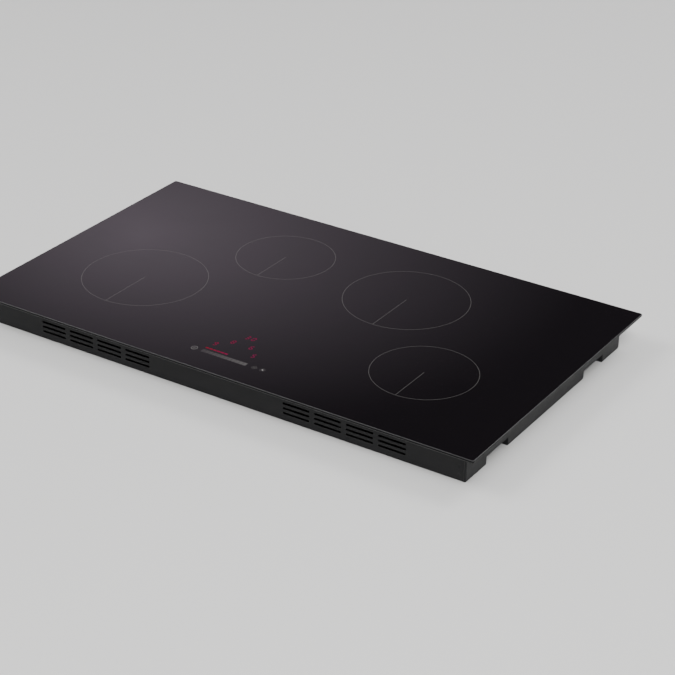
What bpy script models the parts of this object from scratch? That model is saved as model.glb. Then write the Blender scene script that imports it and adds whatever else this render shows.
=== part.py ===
"""A built-in induction cooktop, 900 mm wide, with four cooking zones, as it comes apart on a bench.

Units are metres and +Z is up. The origin is the centre of the casing's underside. +X is to the right
of the person who cooks, and +Y is towards the wall behind. The glass stands out past the casing on
all four sides, and the seal under its edge rests on the worktop.
"""

import math

import bmesh
import bpy
from mathutils import Matrix, Vector

# Driving dimensions
HEIGHT = 0.056
GLASS_WIDTH, GLASS_DEPTH, GLASS_THICKNESS = 0.900, 0.530, 0.004
GLASS_CORNER_RADIUS, GLASS_CHAMFER = 0.003, 0.0008
CASING_WIDTH, CASING_DEPTH, SHEET = 0.852, 0.480, 0.001
GAP = 0.0003
SHARP_ANGLE = 35

# Cooking zones: two sizes, in two pairs either side of the pattern's centre line
LARGE_ZONE_RADIUS, SMALL_ZONE_RADIUS = 0.1005, 0.081
PATTERN_CENTRE_X = 0.0035
OUTER_ZONE_X, INNER_ZONE_X = 0.2635, 0.1205
FRONT_TANGENT_Y, REAR_TANGENT_Y = -0.169, 0.199
ZONES = {
    "front_left": (-OUTER_ZONE_X, FRONT_TANGENT_Y + LARGE_ZONE_RADIUS, LARGE_ZONE_RADIUS),
    "rear_left": (-INNER_ZONE_X, REAR_TANGENT_Y - SMALL_ZONE_RADIUS, SMALL_ZONE_RADIUS),
    "rear_right": (INNER_ZONE_X, REAR_TANGENT_Y - LARGE_ZONE_RADIUS, LARGE_ZONE_RADIUS),
    "front_right": (OUTER_ZONE_X, FRONT_TANGENT_Y + SMALL_ZONE_RADIUS, SMALL_ZONE_RADIUS),
}
# Where each coil's pair of leads leaves it, in degrees round from +X
LEAD_ANGLE = {"front_left": 0, "rear_left": -90, "rear_right": -90, "front_right": 180}

# Levels, from the top down
GLASS_BOTTOM = HEIGHT - GLASS_THICKNESS
CASING_TOP = GLASS_BOTTOM - GAP
SEAL_WIDTH, SEAL_INSET, SEAL_THICKNESS = 0.008, 0.002, 0.0017
MICA_TOP, MICA_THICKNESS = 0.0513, 0.0006
WINDING_TOP, WINDING_THICKNESS = 0.0503, 0.0054
FORMER_THICKNESS = 0.0028
FERRITE_THICKNESS = 0.0034
RAIL_SHEET, RAIL_LIP, RAIL_BOTTOM = 0.0012, 0.012, 0.033
PLATE_THICKNESS = 0.002
PLATE_BOTTOM = RAIL_BOTTOM + RAIL_SHEET + GAP
PLATE_TOP = PLATE_BOTTOM + PLATE_THICKNESS
BOARD_THICKNESS = 0.0016
BOARD_BOTTOM = 0.0083
BOARD_TOP = BOARD_BOTTOM + BOARD_THICKNESS
FLOOR_TOP = SHEET + GAP

# Coils, measured from the zone's radius
COIL_MARGIN = 0.005
WINDING_BORE, FORMER_BORE, MICA_BORE = 0.022, 0.015, 0.014
LEAD_RADIUS, LEAD_PITCH, LEAD_CLEARANCE = 0.0024, 0.0054, 0.0085
LEAD_END = BOARD_TOP + 0.0036

# Electronics
BOARD_X = (0.040, 0.375)
BOARD_Y = (-0.160, 0.058)
SINK_X, SINK_Y, SINK_WIDTH, SINK_HEIGHT = 0.225, (-0.125, 0.055), 0.060, 0.022
FAN_X, FAN_Y, FAN_HEIGHT = 0.225, 0.130, 0.031
SCROLL_START, SCROLL_END, SCROLL_WALL = 0.046, 0.058, 0.0015
FAN_OUTLET_Y = -0.062
FAN_INTAKE_RADIUS = 0.034
IMPELLER_RADIUS, BLADES, BLADE_LEAN = 0.040, 18, 35
AXLE_RADIUS, HUB_BORE = 0.0025, 0.0028

# Mains connection, in the rear wall
FILTER_X, FILTER_Y = (0.293, 0.383), (0.144, 0.228)
WINDOW_X, WINDOW_Z = (0.299, 0.377), (0.011, 0.029)
COVER_X, COVER_DROP, COVER_THICKNESS = (0.292, 0.384), 0.028, 0.002
HINGE_Y, HINGE_Z, HINGE_RADIUS = CASING_DEPTH / 2 + 0.0027, 0.035, 0.0022
HINGE_PIN_RADIUS, HINGE_BORE_RADIUS = 0.001, 0.0014
GLAND_X, GLAND_Z, GLAND_BORE, GLAND_HOLE = 0.262, 0.018, 0.006, 0.0086

# Supply wires, from a terminal on the filter board to one at the rear of each power board
TERMINAL, TERMINAL_HEIGHT = 0.008, 0.009
SUPPLY_START, SUPPLY_X, SUPPLY_Y = (0.3105, 0.156), 0.300, BOARD_Y[1] - 0.006
SUPPLY_RADIUS, SUPPLY_Z, SUPPLY_BEND, SUPPLY_CROSS_Y = 0.003, BOARD_TOP + 0.0045, 0.012, 0.203

# Touch controls, near the front edge. The pair of digits in the middle is the timer.
CONTROLS_X, CONTROLS_Y = (-0.082, 0.098), (-0.232, -0.128)
DIGITS = ((-0.034, -0.188), (-0.015, -0.169), (0.0, -0.145), (0.018, -0.169), (0.035, -0.188))
SLIDER_X, SLIDER_Y = (-0.043, 0.045), (-0.223, -0.201)
CARRIER_TOP = 0.0435

# Worktop clamps, folded into pockets in the casing's lower edge
POCKET_DEPTH, POCKET_HEIGHT, POCKET_LENGTH = 0.040, 0.014, 0.064
POCKET_Y = 0.150
CLAMP_X, CLAMP_OFFSET_Y = 0.402, 0.018
CLAMP_REACH, CLAMP_WIDTH, CLAMP_SHEET, CLAMP_Z = 0.034, 0.018, 0.002, 0.003
CLAMP_SCREW_RADIUS, CLAMP_HOLE_RADIUS, CLAMP_HEAD_RADIUS = 0.0025, 0.0029, 0.0045
CLAMP_SCREW_TOP = 0.026


def clear_scene():
    for obj in list(bpy.data.objects):
        bpy.data.objects.remove(obj, do_unlink=True)


def make_collection(name):
    collection = bpy.data.collections.new(name)
    bpy.context.scene.collection.children.link(collection)
    return collection


def make_material(name, color, roughness, metallic=0.0):
    material = bpy.data.materials.new(name)
    material.use_nodes = True
    shader = material.node_tree.nodes["Principled BSDF"]
    shader.inputs["Base Color"].default_value = (*color, 1.0)
    shader.inputs["Roughness"].default_value = roughness
    shader.inputs["Metallic"].default_value = metallic
    return material


clear_scene()
PARTS = make_collection("induction_cooktop")
CUTTERS = make_collection("cutters")

GLASS = make_material("black_glass", (0.020, 0.018, 0.020), 0.05)
FOAM = make_material("foam_seal", (0.03, 0.03, 0.03), 0.9)
ZINC_STEEL = make_material("galvanised_steel", (0.55, 0.56, 0.57), 0.45, 1.0)
BLACK_STEEL = make_material("black_steel", (0.035, 0.035, 0.037), 0.5, 0.3)
ALUMINIUM = make_material("aluminium", (0.75, 0.76, 0.77), 0.4, 1.0)
COPPER = make_material("litz_copper", (0.60, 0.28, 0.14), 0.45, 1.0)
FERRITE = make_material("ferrite", (0.05, 0.05, 0.055), 0.6)
MICA = make_material("mica", (0.42, 0.36, 0.26), 0.5)
PLASTIC = make_material("black_plastic", (0.03, 0.03, 0.03), 0.5)
SENSOR = make_material("sensor_ceramic", (0.80, 0.79, 0.74), 0.6)
BOARD = make_material("circuit_board", (0.03, 0.16, 0.07), 0.45)
CAPACITOR = make_material("capacitor_film", (0.70, 0.52, 0.10), 0.5)
DIFFUSER = make_material("display_diffuser", (0.35, 0.03, 0.04), 0.4)
WIRE = make_material("wire_sleeve", (0.10, 0.10, 0.11), 0.6)
RIBBON = make_material("ribbon_grey", (0.45, 0.46, 0.48), 0.6)


def box(bm, low, high):
    """Adds a box between two corners."""
    size = Vector(high) - Vector(low)
    centre = (Vector(high) + Vector(low)) / 2
    place = Matrix.Translation(centre) @ Matrix.Diagonal((*size, 1))
    bmesh.ops.create_cube(bm, size=1, matrix=place)


def cylinder(bm, start, end, radius, sides=16):
    """Adds a capped cylinder from start to end."""
    start, end = Vector(start), Vector(end)
    along = end - start
    turn = Vector((0, 0, 1)).rotation_difference(along).to_matrix().to_4x4()
    place = Matrix.Translation((start + end) / 2) @ turn
    bmesh.ops.create_cone(
        bm, cap_ends=True, segments=sides, radius1=radius, radius2=radius,
        depth=along.length, matrix=place,
    )


def mesh_of(name, boxes=(), cylinders=()):
    """A mesh of these boxes, as (low, high), and cylinders, as (start, end, radius)."""
    bm = bmesh.new()
    for low, high in boxes:
        box(bm, low, high)
    for start, end, radius in cylinders:
        cylinder(bm, start, end, radius)
    mesh = bpy.data.meshes.new(name)
    bm.to_mesh(mesh)
    bm.free()
    return mesh


def repeated_boxes(name, low, high, places):
    """A mesh of the same box at each of these places, given as matrices."""
    bm = bmesh.new()
    for place in places:
        known = len(bm.verts)
        box(bm, low, high)
        bmesh.ops.transform(bm, matrix=place, verts=list(bm.verts)[known:])
    mesh = bpy.data.meshes.new(name)
    bm.to_mesh(mesh)
    bm.free()
    return mesh


def mesh_of_curve(name, curve):
    """The curve's surface as a closed mesh, with its caps welded on. The curve is removed."""
    holder = bpy.data.objects.new(name, curve)
    PARTS.objects.link(holder)
    graph = bpy.context.evaluated_depsgraph_get()
    mesh = bpy.data.meshes.new_from_object(holder.evaluated_get(graph))
    bpy.data.objects.remove(holder, do_unlink=True)
    bpy.data.curves.remove(curve)
    bm = bmesh.new()
    bm.from_mesh(mesh)
    bmesh.ops.remove_doubles(bm, verts=bm.verts, dist=1e-6)
    bm.to_mesh(mesh)
    bm.free()
    mesh.shade_smooth()
    mesh.set_sharp_from_angle(angle=math.radians(SHARP_ANGLE))
    mesh.name = name
    return mesh


def outline_mesh(name, outlines, bottom, top, chamfer=0.0):
    """Flat outlines, the later ones holes in the first, extruded from bottom to top."""
    curve = bpy.data.curves.new(name, "CURVE")
    curve.dimensions = "2D"
    curve.fill_mode = "BOTH"
    curve.extrude = (top - bottom) / 2 - chamfer
    curve.bevel_depth = chamfer
    curve.offset = -chamfer
    curve.bevel_resolution = 0
    for outline in outlines:
        spline = curve.splines.new("POLY")
        spline.points.add(len(outline) - 1)
        for point, (x, y) in zip(spline.points, outline):
            point.co = (x, y, 0, 1)
        spline.use_cyclic_u = True
    mesh = mesh_of_curve(name, curve)
    mesh.transform(Matrix.Translation((0, 0, (bottom + top) / 2)))
    return mesh


def tube_mesh(name, route, radius):
    """A round tube with closed ends along the route's points."""
    curve = bpy.data.curves.new(name, "CURVE")
    curve.dimensions = "3D"
    curve.bevel_depth = radius
    curve.bevel_resolution = 2
    curve.use_fill_caps = True
    spline = curve.splines.new("POLY")
    spline.points.add(len(route) - 1)
    for point, place in zip(spline.points, route):
        point.co = (*place, 1)
    return mesh_of_curve(name, curve)


def profile_mesh(name, profile, closed):
    """The half section of a turned shape, as (radius, height) points that run down its outer side."""
    edges = [(i, i + 1) for i in range(len(profile) - 1)]
    if closed:
        edges.append((len(profile) - 1, 0))
    mesh = bpy.data.meshes.new(name)
    mesh.from_pydata([(radius, 0, height) for radius, height in profile], edges, [])
    return mesh


def add_part(name, mesh, material, location=(0, 0, 0), rotation=(0, 0, 0)):
    """One named piece. Copies may share a mesh."""
    part = bpy.data.objects.new(name, mesh)
    PARTS.objects.link(part)
    part.location = location
    part.rotation_euler = [math.radians(angle) for angle in rotation]
    if not mesh.materials:
        mesh.materials.append(material)
    return part


def add_turned(name, profile, material, location=(0, 0, 0), rotation=(0, 0, 0), closed=True, steps=32):
    """A piece turned about its own Z axis. A closed profile leaves a bore."""
    part = add_part(name, profile_mesh(name, profile, closed), material, location, rotation)
    screw = part.modifiers.new("turn", "SCREW")
    screw.steps = screw.render_steps = steps
    screw.use_merge_vertices = True
    screw.merge_threshold = 1e-5
    return part


def add_helper(part, name, mesh):
    """A hidden shape that a Boolean uses. It moves with its part."""
    helper = bpy.data.objects.new(f"{part.name}_{name}", mesh)
    CUTTERS.objects.link(helper)
    helper.parent = part
    helper.hide_render = True
    helper.display_type = "WIRE"
    return helper


def combine(part, operation, name, mesh):
    """Joins the mesh to the part, or cuts it out, and returns the hidden helper that does it."""
    helper = add_helper(part, name, mesh)
    modifier = part.modifiers.new(name, "BOOLEAN")
    modifier.operation = operation
    modifier.object = helper
    modifier.use_self = operation == "UNION"
    return helper


def join(part, name, mesh):
    return combine(part, "UNION", name, mesh)


def cut(part, name, mesh):
    return combine(part, "DIFFERENCE", name, mesh)


def finished_mesh(part):
    """The part's mesh with its modifiers worked out, for its copies to share."""
    graph = bpy.context.evaluated_depsgraph_get()
    return bpy.data.meshes.new_from_object(part.evaluated_get(graph))


def arc(centre, radius, start, end, steps):
    """Points on an arc, with its angles in degrees."""
    angles = [math.radians(start + (end - start) * i / steps) for i in range(steps + 1)]
    return [(centre[0] + radius * math.cos(a), centre[1] + radius * math.sin(a)) for a in angles]


def rounded_rectangle(width, depth, radius, steps=4):
    """The outline of a rectangle about the origin, with round corners."""
    x, y = width / 2 - radius, depth / 2 - radius
    corners = ((x, y, 0), (-x, y, 90), (-x, -y, 180), (x, -y, 270))
    points = []
    for corner_x, corner_y, start in corners:
        points += arc((corner_x, corner_y), radius, start, start + 90, steps)
    return points


def rectangle(x_span, y_span):
    """The outline of a plain rectangle."""
    return [(x_span[0], y_span[0]), (x_span[1], y_span[0]), (x_span[1], y_span[1]), (x_span[0], y_span[1])]


def mirrored(span):
    """A span of X on the left side that matches one on the right."""
    return (-span[1], -span[0])


def zone_place(name):
    x, y, radius = ZONES[name]
    return PATTERN_CENTRE_X + x, y, radius


def lead_place(name):
    """Where a coil's leads pass down through the plate."""
    x, y, radius = zone_place(name)
    angle = math.radians(LEAD_ANGLE[name])
    reach = radius - COIL_MARGIN + LEAD_CLEARANCE
    return x + reach * math.cos(angle), y + reach * math.sin(angle)


def add_glass():
    outline = rounded_rectangle(GLASS_WIDTH, GLASS_DEPTH, GLASS_CORNER_RADIUS)
    mesh = outline_mesh("glass_panel", [outline], GLASS_BOTTOM, HEIGHT, GLASS_CHAMFER)
    add_part("glass_panel", mesh, GLASS)


def add_seal():
    """Foam tape round the glass's underside, which rests on the worktop."""
    rings = []
    for inset in (SEAL_INSET, SEAL_INSET + SEAL_WIDTH):
        x, y = GLASS_WIDTH / 2 - inset, GLASS_DEPTH / 2 - inset
        rings.append(rectangle((-x, x), (-y, y)))
    top = GLASS_BOTTOM - GAP
    add_part("worktop_seal", outline_mesh("worktop_seal", rings, top - SEAL_THICKNESS, top), FOAM)


def add_rails():
    """Four channels bonded to the glass. The casing screws to their webs. The plates lie on their lips."""
    height = CASING_TOP - RAIL_BOTTOM
    inner_top = height - RAIL_SHEET
    section = [
        (0, 0), (RAIL_LIP, 0), (RAIL_LIP, RAIL_SHEET), (RAIL_SHEET, RAIL_SHEET),
        (RAIL_SHEET, inner_top), (RAIL_LIP, inner_top), (RAIL_LIP, height), (0, height),
    ]
    web_x = CASING_WIDTH / 2 - SHEET - GAP
    web_y = CASING_DEPTH / 2 - SHEET - GAP
    side_half = web_y
    cross_half = web_x - RAIL_LIP - GAP
    places = {
        "rail_left": (side_half, (-web_x, 0, RAIL_BOTTOM), 0),
        "rail_right": (side_half, (web_x, 0, RAIL_BOTTOM), 180),
        "rail_front": (cross_half, (0, -web_y, RAIL_BOTTOM), 90),
        "rail_rear": (cross_half, (0, web_y, RAIL_BOTTOM), -90),
    }
    for name, (half, place, turn) in places.items():
        mesh = outline_mesh(name, [section], -half, half)
        add_part(name, mesh, ZINC_STEEL, place, (90, 0, turn))


def pocket_boxes(wall):
    """The four clamp pockets as boxes, grown by a wall thickness, open downwards and to the side."""
    beyond = 0.01
    boxes = []
    for side in (-1, 1):
        xs = sorted((side * (CASING_WIDTH / 2 - POCKET_DEPTH - wall), side * (CASING_WIDTH / 2 + beyond)))
        for end in (-1, 1):
            half = POCKET_LENGTH / 2 + wall
            low = (xs[0], end * POCKET_Y - half, -beyond)
            high = (xs[1], end * POCKET_Y + half, POCKET_HEIGHT + wall)
            boxes.append((low, high))
    return boxes


def intake_slots():
    """Slots in the casing's floor under each fan, as chords of a circle."""
    slot, pitch, count = 0.004, 0.0085, 7
    boxes = []
    for side in (-1, 1):
        for i in range(count):
            offset = (i - (count - 1) / 2) * pitch
            half = math.sqrt(FAN_INTAKE_RADIUS**2 - offset**2)
            low = (side * FAN_X - half, FAN_Y + offset - slot / 2, -0.01)
            high = (side * FAN_X + half, FAN_Y + offset + slot / 2, 0.01)
            boxes.append((low, high))
    return boxes


def exhaust_slots():
    """Long slots in the front wall, where the air from each heat sink leaves."""
    length, height, columns, rows = 0.046, 0.0035, 4, 3
    wall_y = -CASING_DEPTH / 2
    boxes = []
    for side in (-1, 1):
        for column in range(columns):
            x = side * SINK_X + (column - (columns - 1) / 2) * (length + 0.008)
            for row in range(rows):
                z = 0.013 + row * 0.008
                low = (x - length / 2, wall_y - 0.005, z - height / 2)
                high = (x + length / 2, wall_y + 0.005, z + height / 2)
                boxes.append((low, high))
    return boxes


def clamp_pivots():
    """Each clamp's name, pivot and the end of the casing it is at."""
    for side_name, side in (("left", -1), ("right", 1)):
        for end_name, end in (("front", -1), ("rear", 1)):
            pivot = (side * CLAMP_X, end * (POCKET_Y - CLAMP_OFFSET_Y))
            yield f"{end_name}_{side_name}", pivot, end


def add_casing():
    """The folded steel tray, with its clamp pockets, vents, terminal window and hinge ears."""
    x, y = CASING_WIDTH / 2, CASING_DEPTH / 2
    block = mesh_of("bottom_casing", [((-x, -y, 0), (x, y, CASING_TOP))])
    casing = add_part("bottom_casing", block, BLACK_STEEL)
    inner = [((SHEET - x, SHEET - y, SHEET), (x - SHEET, y - SHEET, HEIGHT))]
    cavity = cut(casing, "cavity", mesh_of("cavity", inner))
    cut(cavity, "pocket_walls", mesh_of("pocket_walls", pocket_boxes(SHEET)))
    cut(casing, "pockets", mesh_of("pockets", pocket_boxes(0)))
    cut(casing, "vents", mesh_of("vents", intake_slots() + exhaust_slots()))
    window = [((WINDOW_X[0], y - 0.01, WINDOW_Z[0]), (WINDOW_X[1], y + 0.01, WINDOW_Z[1]))]
    gland = ((GLAND_X, y - 0.01, GLAND_Z), (GLAND_X, y + 0.01, GLAND_Z), GLAND_HOLE)
    ceiling = (POCKET_HEIGHT - SHEET, POCKET_HEIGHT + 2 * SHEET)
    screws = [
        ((*pivot, ceiling[0]), (*pivot, ceiling[1]), CLAMP_HOLE_RADIUS) for _, pivot, _ in clamp_pivots()
    ]
    cut(casing, "openings", mesh_of("openings", window, [gland, *screws]))
    join(casing, "hinge_ears", hinge_ears())


def hinge_ears():
    """An ear at each end of the terminal cover, with the pin that the cover turns on."""
    width, depth, half_height, pin_reach = 0.004, 0.002, 0.003, 0.004
    ears, pins = [], []
    for edge, outward in ((COVER_X[0], -1), (COVER_X[1], 1)):
        xs = sorted((edge + outward * GAP, edge + outward * width))
        low = (xs[0], CASING_DEPTH / 2 - SHEET / 2, HINGE_Z - half_height)
        high = (xs[1], HINGE_Y + depth, HINGE_Z + half_height)
        ears.append((low, high))
        inner, outer = edge - outward * pin_reach, edge + outward * width / 2
        pins.append(((inner, HINGE_Y, HINGE_Z), (outer, HINGE_Y, HINGE_Z), HINGE_PIN_RADIUS))
    return mesh_of("hinge_ears", ears, pins)


def add_plates():
    """Two aluminium plates that carry the coils above the electronics."""
    outer = CASING_WIDTH / 2 - SHEET - RAIL_SHEET - 3 * GAP
    half_depth = CASING_DEPTH / 2 - SHEET - RAIL_SHEET - 3 * GAP
    middle_gap = 0.001
    for side_name, side in (("left", -1), ("right", 1)):
        xs = sorted((side * middle_gap, side * outer))
        body = [((xs[0], -half_depth, PLATE_BOTTOM), (xs[1], half_depth, PLATE_TOP))]
        plate = add_part(f"coil_plate_{side_name}", mesh_of("coil_plate", body), ALUMINIUM)
        slots, holes = [], []
        for name in (f"front_{side_name}", f"rear_{side_name}"):
            lead_x, lead_y = lead_place(name)
            centre_x, centre_y, _ = zone_place(name)
            half = 0.009
            slots.append(((lead_x - half, lead_y - half, 0.03), (lead_x + half, lead_y + half, 0.04)))
            holes.append(((centre_x, centre_y, 0.03), (centre_x, centre_y, 0.04), 0.005))
        if side_name == "left":
            slots.append(((-0.074, -0.1225, 0.03), (-0.040, -0.1115, 0.04)))
        cut(plate, "holes", mesh_of("holes", slots, holes))


def add_winding(name):
    """A flat litz coil, with its pair of leads bent down to the power board."""
    x, y, radius = zone_place(name)
    outer = radius - COIL_MARGIN
    bottom = WINDING_TOP - WINDING_THICKNESS
    middle = bottom + WINDING_THICKNESS / 2
    profile = [(WINDING_BORE, WINDING_TOP), (outer, WINDING_TOP), (outer, bottom), (WINDING_BORE, bottom)]
    place, turn = (x, y, 0), (0, 0, LEAD_ANGLE[name])
    winding = add_turned(f"coil_winding_{name}", profile, COPPER, place, turn, steps=40)
    reach = outer + LEAD_CLEARANCE
    bend = arc((reach - 0.005, middle - 0.005), 0.005, 90, 0, 4)
    for side in (-1, 1):
        offset = side * LEAD_PITCH / 2
        route = [(outer - 0.008, offset, middle)]
        route += [(bend_x, offset, bend_z) for bend_x, bend_z in bend]
        route.append((reach, offset, LEAD_END))
        join(winding, f"lead_{side}", tube_mesh("lead", route, LEAD_RADIUS))


def add_former(name):
    """The plastic disc that a winding lies on, with a boss in the middle."""
    x, y, radius = zone_place(name)
    top = WINDING_TOP - WINDING_THICKNESS - GAP
    bottom = top - FORMER_THICKNESS
    outer, boss, boss_top = radius - COIL_MARGIN + 0.003, 0.018, WINDING_TOP - GAP
    profile = [
        (FORMER_BORE, boss_top), (boss, boss_top), (boss, top), (outer, top), (outer, bottom),
        (FORMER_BORE, bottom),
    ]
    add_turned(f"coil_former_{name}", profile, PLASTIC, (x, y, 0), steps=36)


def add_ferrites(name):
    """Eight ferrite bars under a former, held by a ring."""
    x, y, radius = zone_place(name)
    top = WINDING_TOP - WINDING_THICKNESS - FORMER_THICKNESS - 2 * GAP
    bottom = top - FERRITE_THICKNESS
    bore, rim, step = 0.020, 0.030, 0.0005
    ring = [(bore, top - step), (rim, top - step), (rim, bottom + step), (bore, bottom + step)]
    ferrites = add_turned(f"ferrite_star_{name}", ring, FERRITE, (x, y, 0), steps=24)
    half_width, inner, outer = 0.006, 0.025, radius - 0.010
    places = [Matrix.Rotation(math.radians(45 * i + 22.5), 4, "Z") for i in range(8)]
    bars = repeated_boxes("bars", (inner, -half_width, bottom), (outer, half_width, top), places)
    join(ferrites, "bars", bars)


def add_mica(name):
    """The insulating sheet between a winding and the glass."""
    x, y, radius = zone_place(name)
    outer = radius - COIL_MARGIN + 0.002
    bottom = MICA_TOP - MICA_THICKNESS
    profile = [(MICA_BORE, MICA_TOP), (outer, MICA_TOP), (outer, bottom), (MICA_BORE, bottom)]
    add_turned(f"mica_disc_{name}", profile, MICA, (x, y, 0), steps=28)


def add_sensor(name):
    """The temperature sensor that presses against the glass in the middle of a coil."""
    x, y, _ = zone_place(name)
    top, bottom = GLASS_BOTTOM - GAP, PLATE_TOP + GAP
    profile = [
        (0, top), (0.007, top), (0.008, top - 0.001), (0.008, top - 0.004), (0.005, top - 0.004),
        (0.005, bottom + 0.002), (0.011, bottom + 0.002), (0.011, bottom), (0, bottom),
    ]
    add_turned(f"temperature_sensor_{name}", profile, SENSOR, (x, y, 0), closed=False, steps=14)


def add_power_side(side_name, side):
    """One power stage: a carrier, its board, a heat sink and the main capacitor."""
    xs = BOARD_X if side > 0 else mirrored(BOARD_X)
    rim = 0.004
    tray, post_radius, post_inset = 0.002, 0.004, 0.012
    low = (xs[0] - rim, BOARD_Y[0] - rim, FLOOR_TOP)
    high = (xs[1] + rim, BOARD_Y[1] + rim, FLOOR_TOP + tray)
    carrier = add_part(f"board_carrier_{side_name}", mesh_of("carrier", [(low, high)]), PLASTIC)
    posts = []
    for x in (xs[0] + post_inset, sum(xs) / 2, xs[1] - post_inset):
        for y in (BOARD_Y[0] + post_inset, BOARD_Y[1] - post_inset):
            posts.append(((x, y, FLOOR_TOP + tray / 2), (x, y, BOARD_BOTTOM - GAP), post_radius))
    join(carrier, "posts", mesh_of("posts", (), posts))

    sheet = [((xs[0], BOARD_Y[0], BOARD_BOTTOM), (xs[1], BOARD_Y[1], BOARD_TOP))]
    board = add_part(f"power_board_{side_name}", mesh_of("board", sheet), BOARD)
    parts = []
    for name in (f"front_{side_name}", f"rear_{side_name}"):
        parts.append(component(*lead_place(name), 0.012, 0.012, LEAD_END - GAP - BOARD_TOP))
    for i in range(4):
        y = -0.097 + 0.042 * i
        parts.append(component(side * 0.264, y, 0.008, 0.016, 0.020))
        parts.append(component(side * 0.330, y, 0.032, 0.018, 0.014))
    parts.append(component(side * 0.075, 0.015, 0.036, 0.030, 0.017))
    terminal_y = SUPPLY_Y - GAP - TERMINAL / 2
    parts.append(component(side * SUPPLY_X, terminal_y, TERMINAL, TERMINAL, TERMINAL_HEIGHT))
    join(board, "components", mesh_of("components", parts))

    add_heat_sink(f"heat_sink_{side_name}", side * SINK_X)
    capacitor_body = component(side * 0.120, -0.110, 0.050, 0.026, 0.020, BOARD_TOP + GAP)
    capacitor = add_part(f"bus_capacitor_{side_name}", mesh_of("capacitor", [capacitor_body]), CAPACITOR)
    bevel = capacitor.modifiers.new("round_edges", "BEVEL")
    bevel.width = 0.0015
    bevel.segments = 2


def component(x, y, width, depth, height, bottom=BOARD_TOP - 0.0005):
    """A block that stands on a board, as (low, high). Its foot is sunk a little into the board."""
    return (x - width / 2, y - depth / 2, bottom), (x + width / 2, y + depth / 2, BOARD_TOP + height)


def add_heat_sink(name, x):
    """An extruded aluminium comb, with its fins along the air's path."""
    fins, fin, base = 8, 0.0018, 0.004
    pitch = (SINK_WIDTH - fin) / (fins - 1)
    left = -SINK_WIDTH / 2
    outline = [(left, 0), (left + SINK_WIDTH, 0)]
    for i in reversed(range(fins)):
        start = left + i * pitch
        outline += [(start + fin, SINK_HEIGHT), (start, SINK_HEIGHT)]
        if i:
            outline += [(start, base), (start - pitch + fin, base)]
    half = (SINK_Y[1] - SINK_Y[0]) / 2
    place = (x, sum(SINK_Y) / 2, BOARD_TOP + GAP)
    add_part(name, outline_mesh(name, [outline], -half, half), ALUMINIUM, place, (90, 0, 0))


def scroll_outline(inset, outlet_y):
    """The blower's snail-shell outline about the impeller's axis, with its outlet towards -Y."""
    start, end = SCROLL_START - inset, SCROLL_END - inset
    points = arc((0, 0), start, 250, 180, 5)
    steps = 14
    for i in range(1, steps + 1):
        radius = start + (end - start) * i / steps
        angle = math.radians(180 - 180 * i / steps)
        points.append((radius * math.cos(angle), radius * math.sin(angle)))
    return points + [(end, outlet_y), (points[0][0], outlet_y)]


def add_fan_housings():
    """Two blowers' casings, with an intake below, an outlet in front and the impeller's fixed axle."""
    first = None
    for side_name, side in (("left", -1), ("right", 1)):
        name, place = f"fan_housing_{side_name}", (side * FAN_X, FAN_Y, FLOOR_TOP)
        if first:
            add_part(name, first, PLASTIC, place)
            continue
        shell = outline_mesh(name, [scroll_outline(0, FAN_OUTLET_Y)], 0, FAN_HEIGHT)
        housing = add_part(name, shell, PLASTIC)
        outlines = [scroll_outline(SCROLL_WALL, FAN_OUTLET_Y - 0.01)]
        cut(housing, "inside", outline_mesh("inside", outlines, SCROLL_WALL, FAN_HEIGHT - SCROLL_WALL))
        intake = mesh_of("intake", (), [((0, 0, -0.005), (0, 0, 0.005), FAN_INTAKE_RADIUS)])
        cut(housing, "intake", intake)
        axle = mesh_of("axle", (), [((0, 0, 0.006), (0, 0, FAN_HEIGHT - 0.0005), AXLE_RADIUS)])
        join(housing, "axle", axle)
        first = finished_mesh(housing)
        bake(housing, first)
        housing.location = place


def bake(part, mesh):
    """Gives the part its finished mesh and removes the helpers that shaped it."""
    for modifier in list(part.modifiers):
        part.modifiers.remove(modifier)
    for helper in list(part.children_recursive):
        bpy.data.objects.remove(helper, do_unlink=True)
    part.data = mesh


def add_impellers():
    """Two blower wheels. Each turns on its housing's axle."""
    bottom, top, plate = 0.004, 0.026, 0.0015
    hub_bottom, hub_radius, hub_taper = 0.008, 0.012, 0.001
    profile = [
        (HUB_BORE, top), (IMPELLER_RADIUS, top), (IMPELLER_RADIUS, top - plate),
        (hub_radius + hub_taper, top - plate), (hub_radius, hub_bottom), (HUB_BORE, hub_bottom),
    ]
    wheel = add_turned("fan_impeller_left", profile, PLASTIC, steps=36)
    blade_start, blade_length, half_thickness = 0.029, 0.0105, 0.0006
    outward = Matrix.Translation((blade_start, 0, 0)) @ Matrix.Rotation(math.radians(BLADE_LEAN), 4, "Z")
    places = [Matrix.Rotation(2 * math.pi * i / BLADES, 4, "Z") @ outward for i in range(BLADES)]
    low, high = (0, -half_thickness, bottom), (blade_length, half_thickness, top - plate / 2)
    join(wheel, "blades", repeated_boxes("blades", low, high, places))
    finished = finished_mesh(wheel)
    bake(wheel, finished)
    wheel.location = (-FAN_X, FAN_Y, FLOOR_TOP)
    add_part("fan_impeller_right", finished, PLASTIC, (FAN_X, FAN_Y, FLOOR_TOP))


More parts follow.
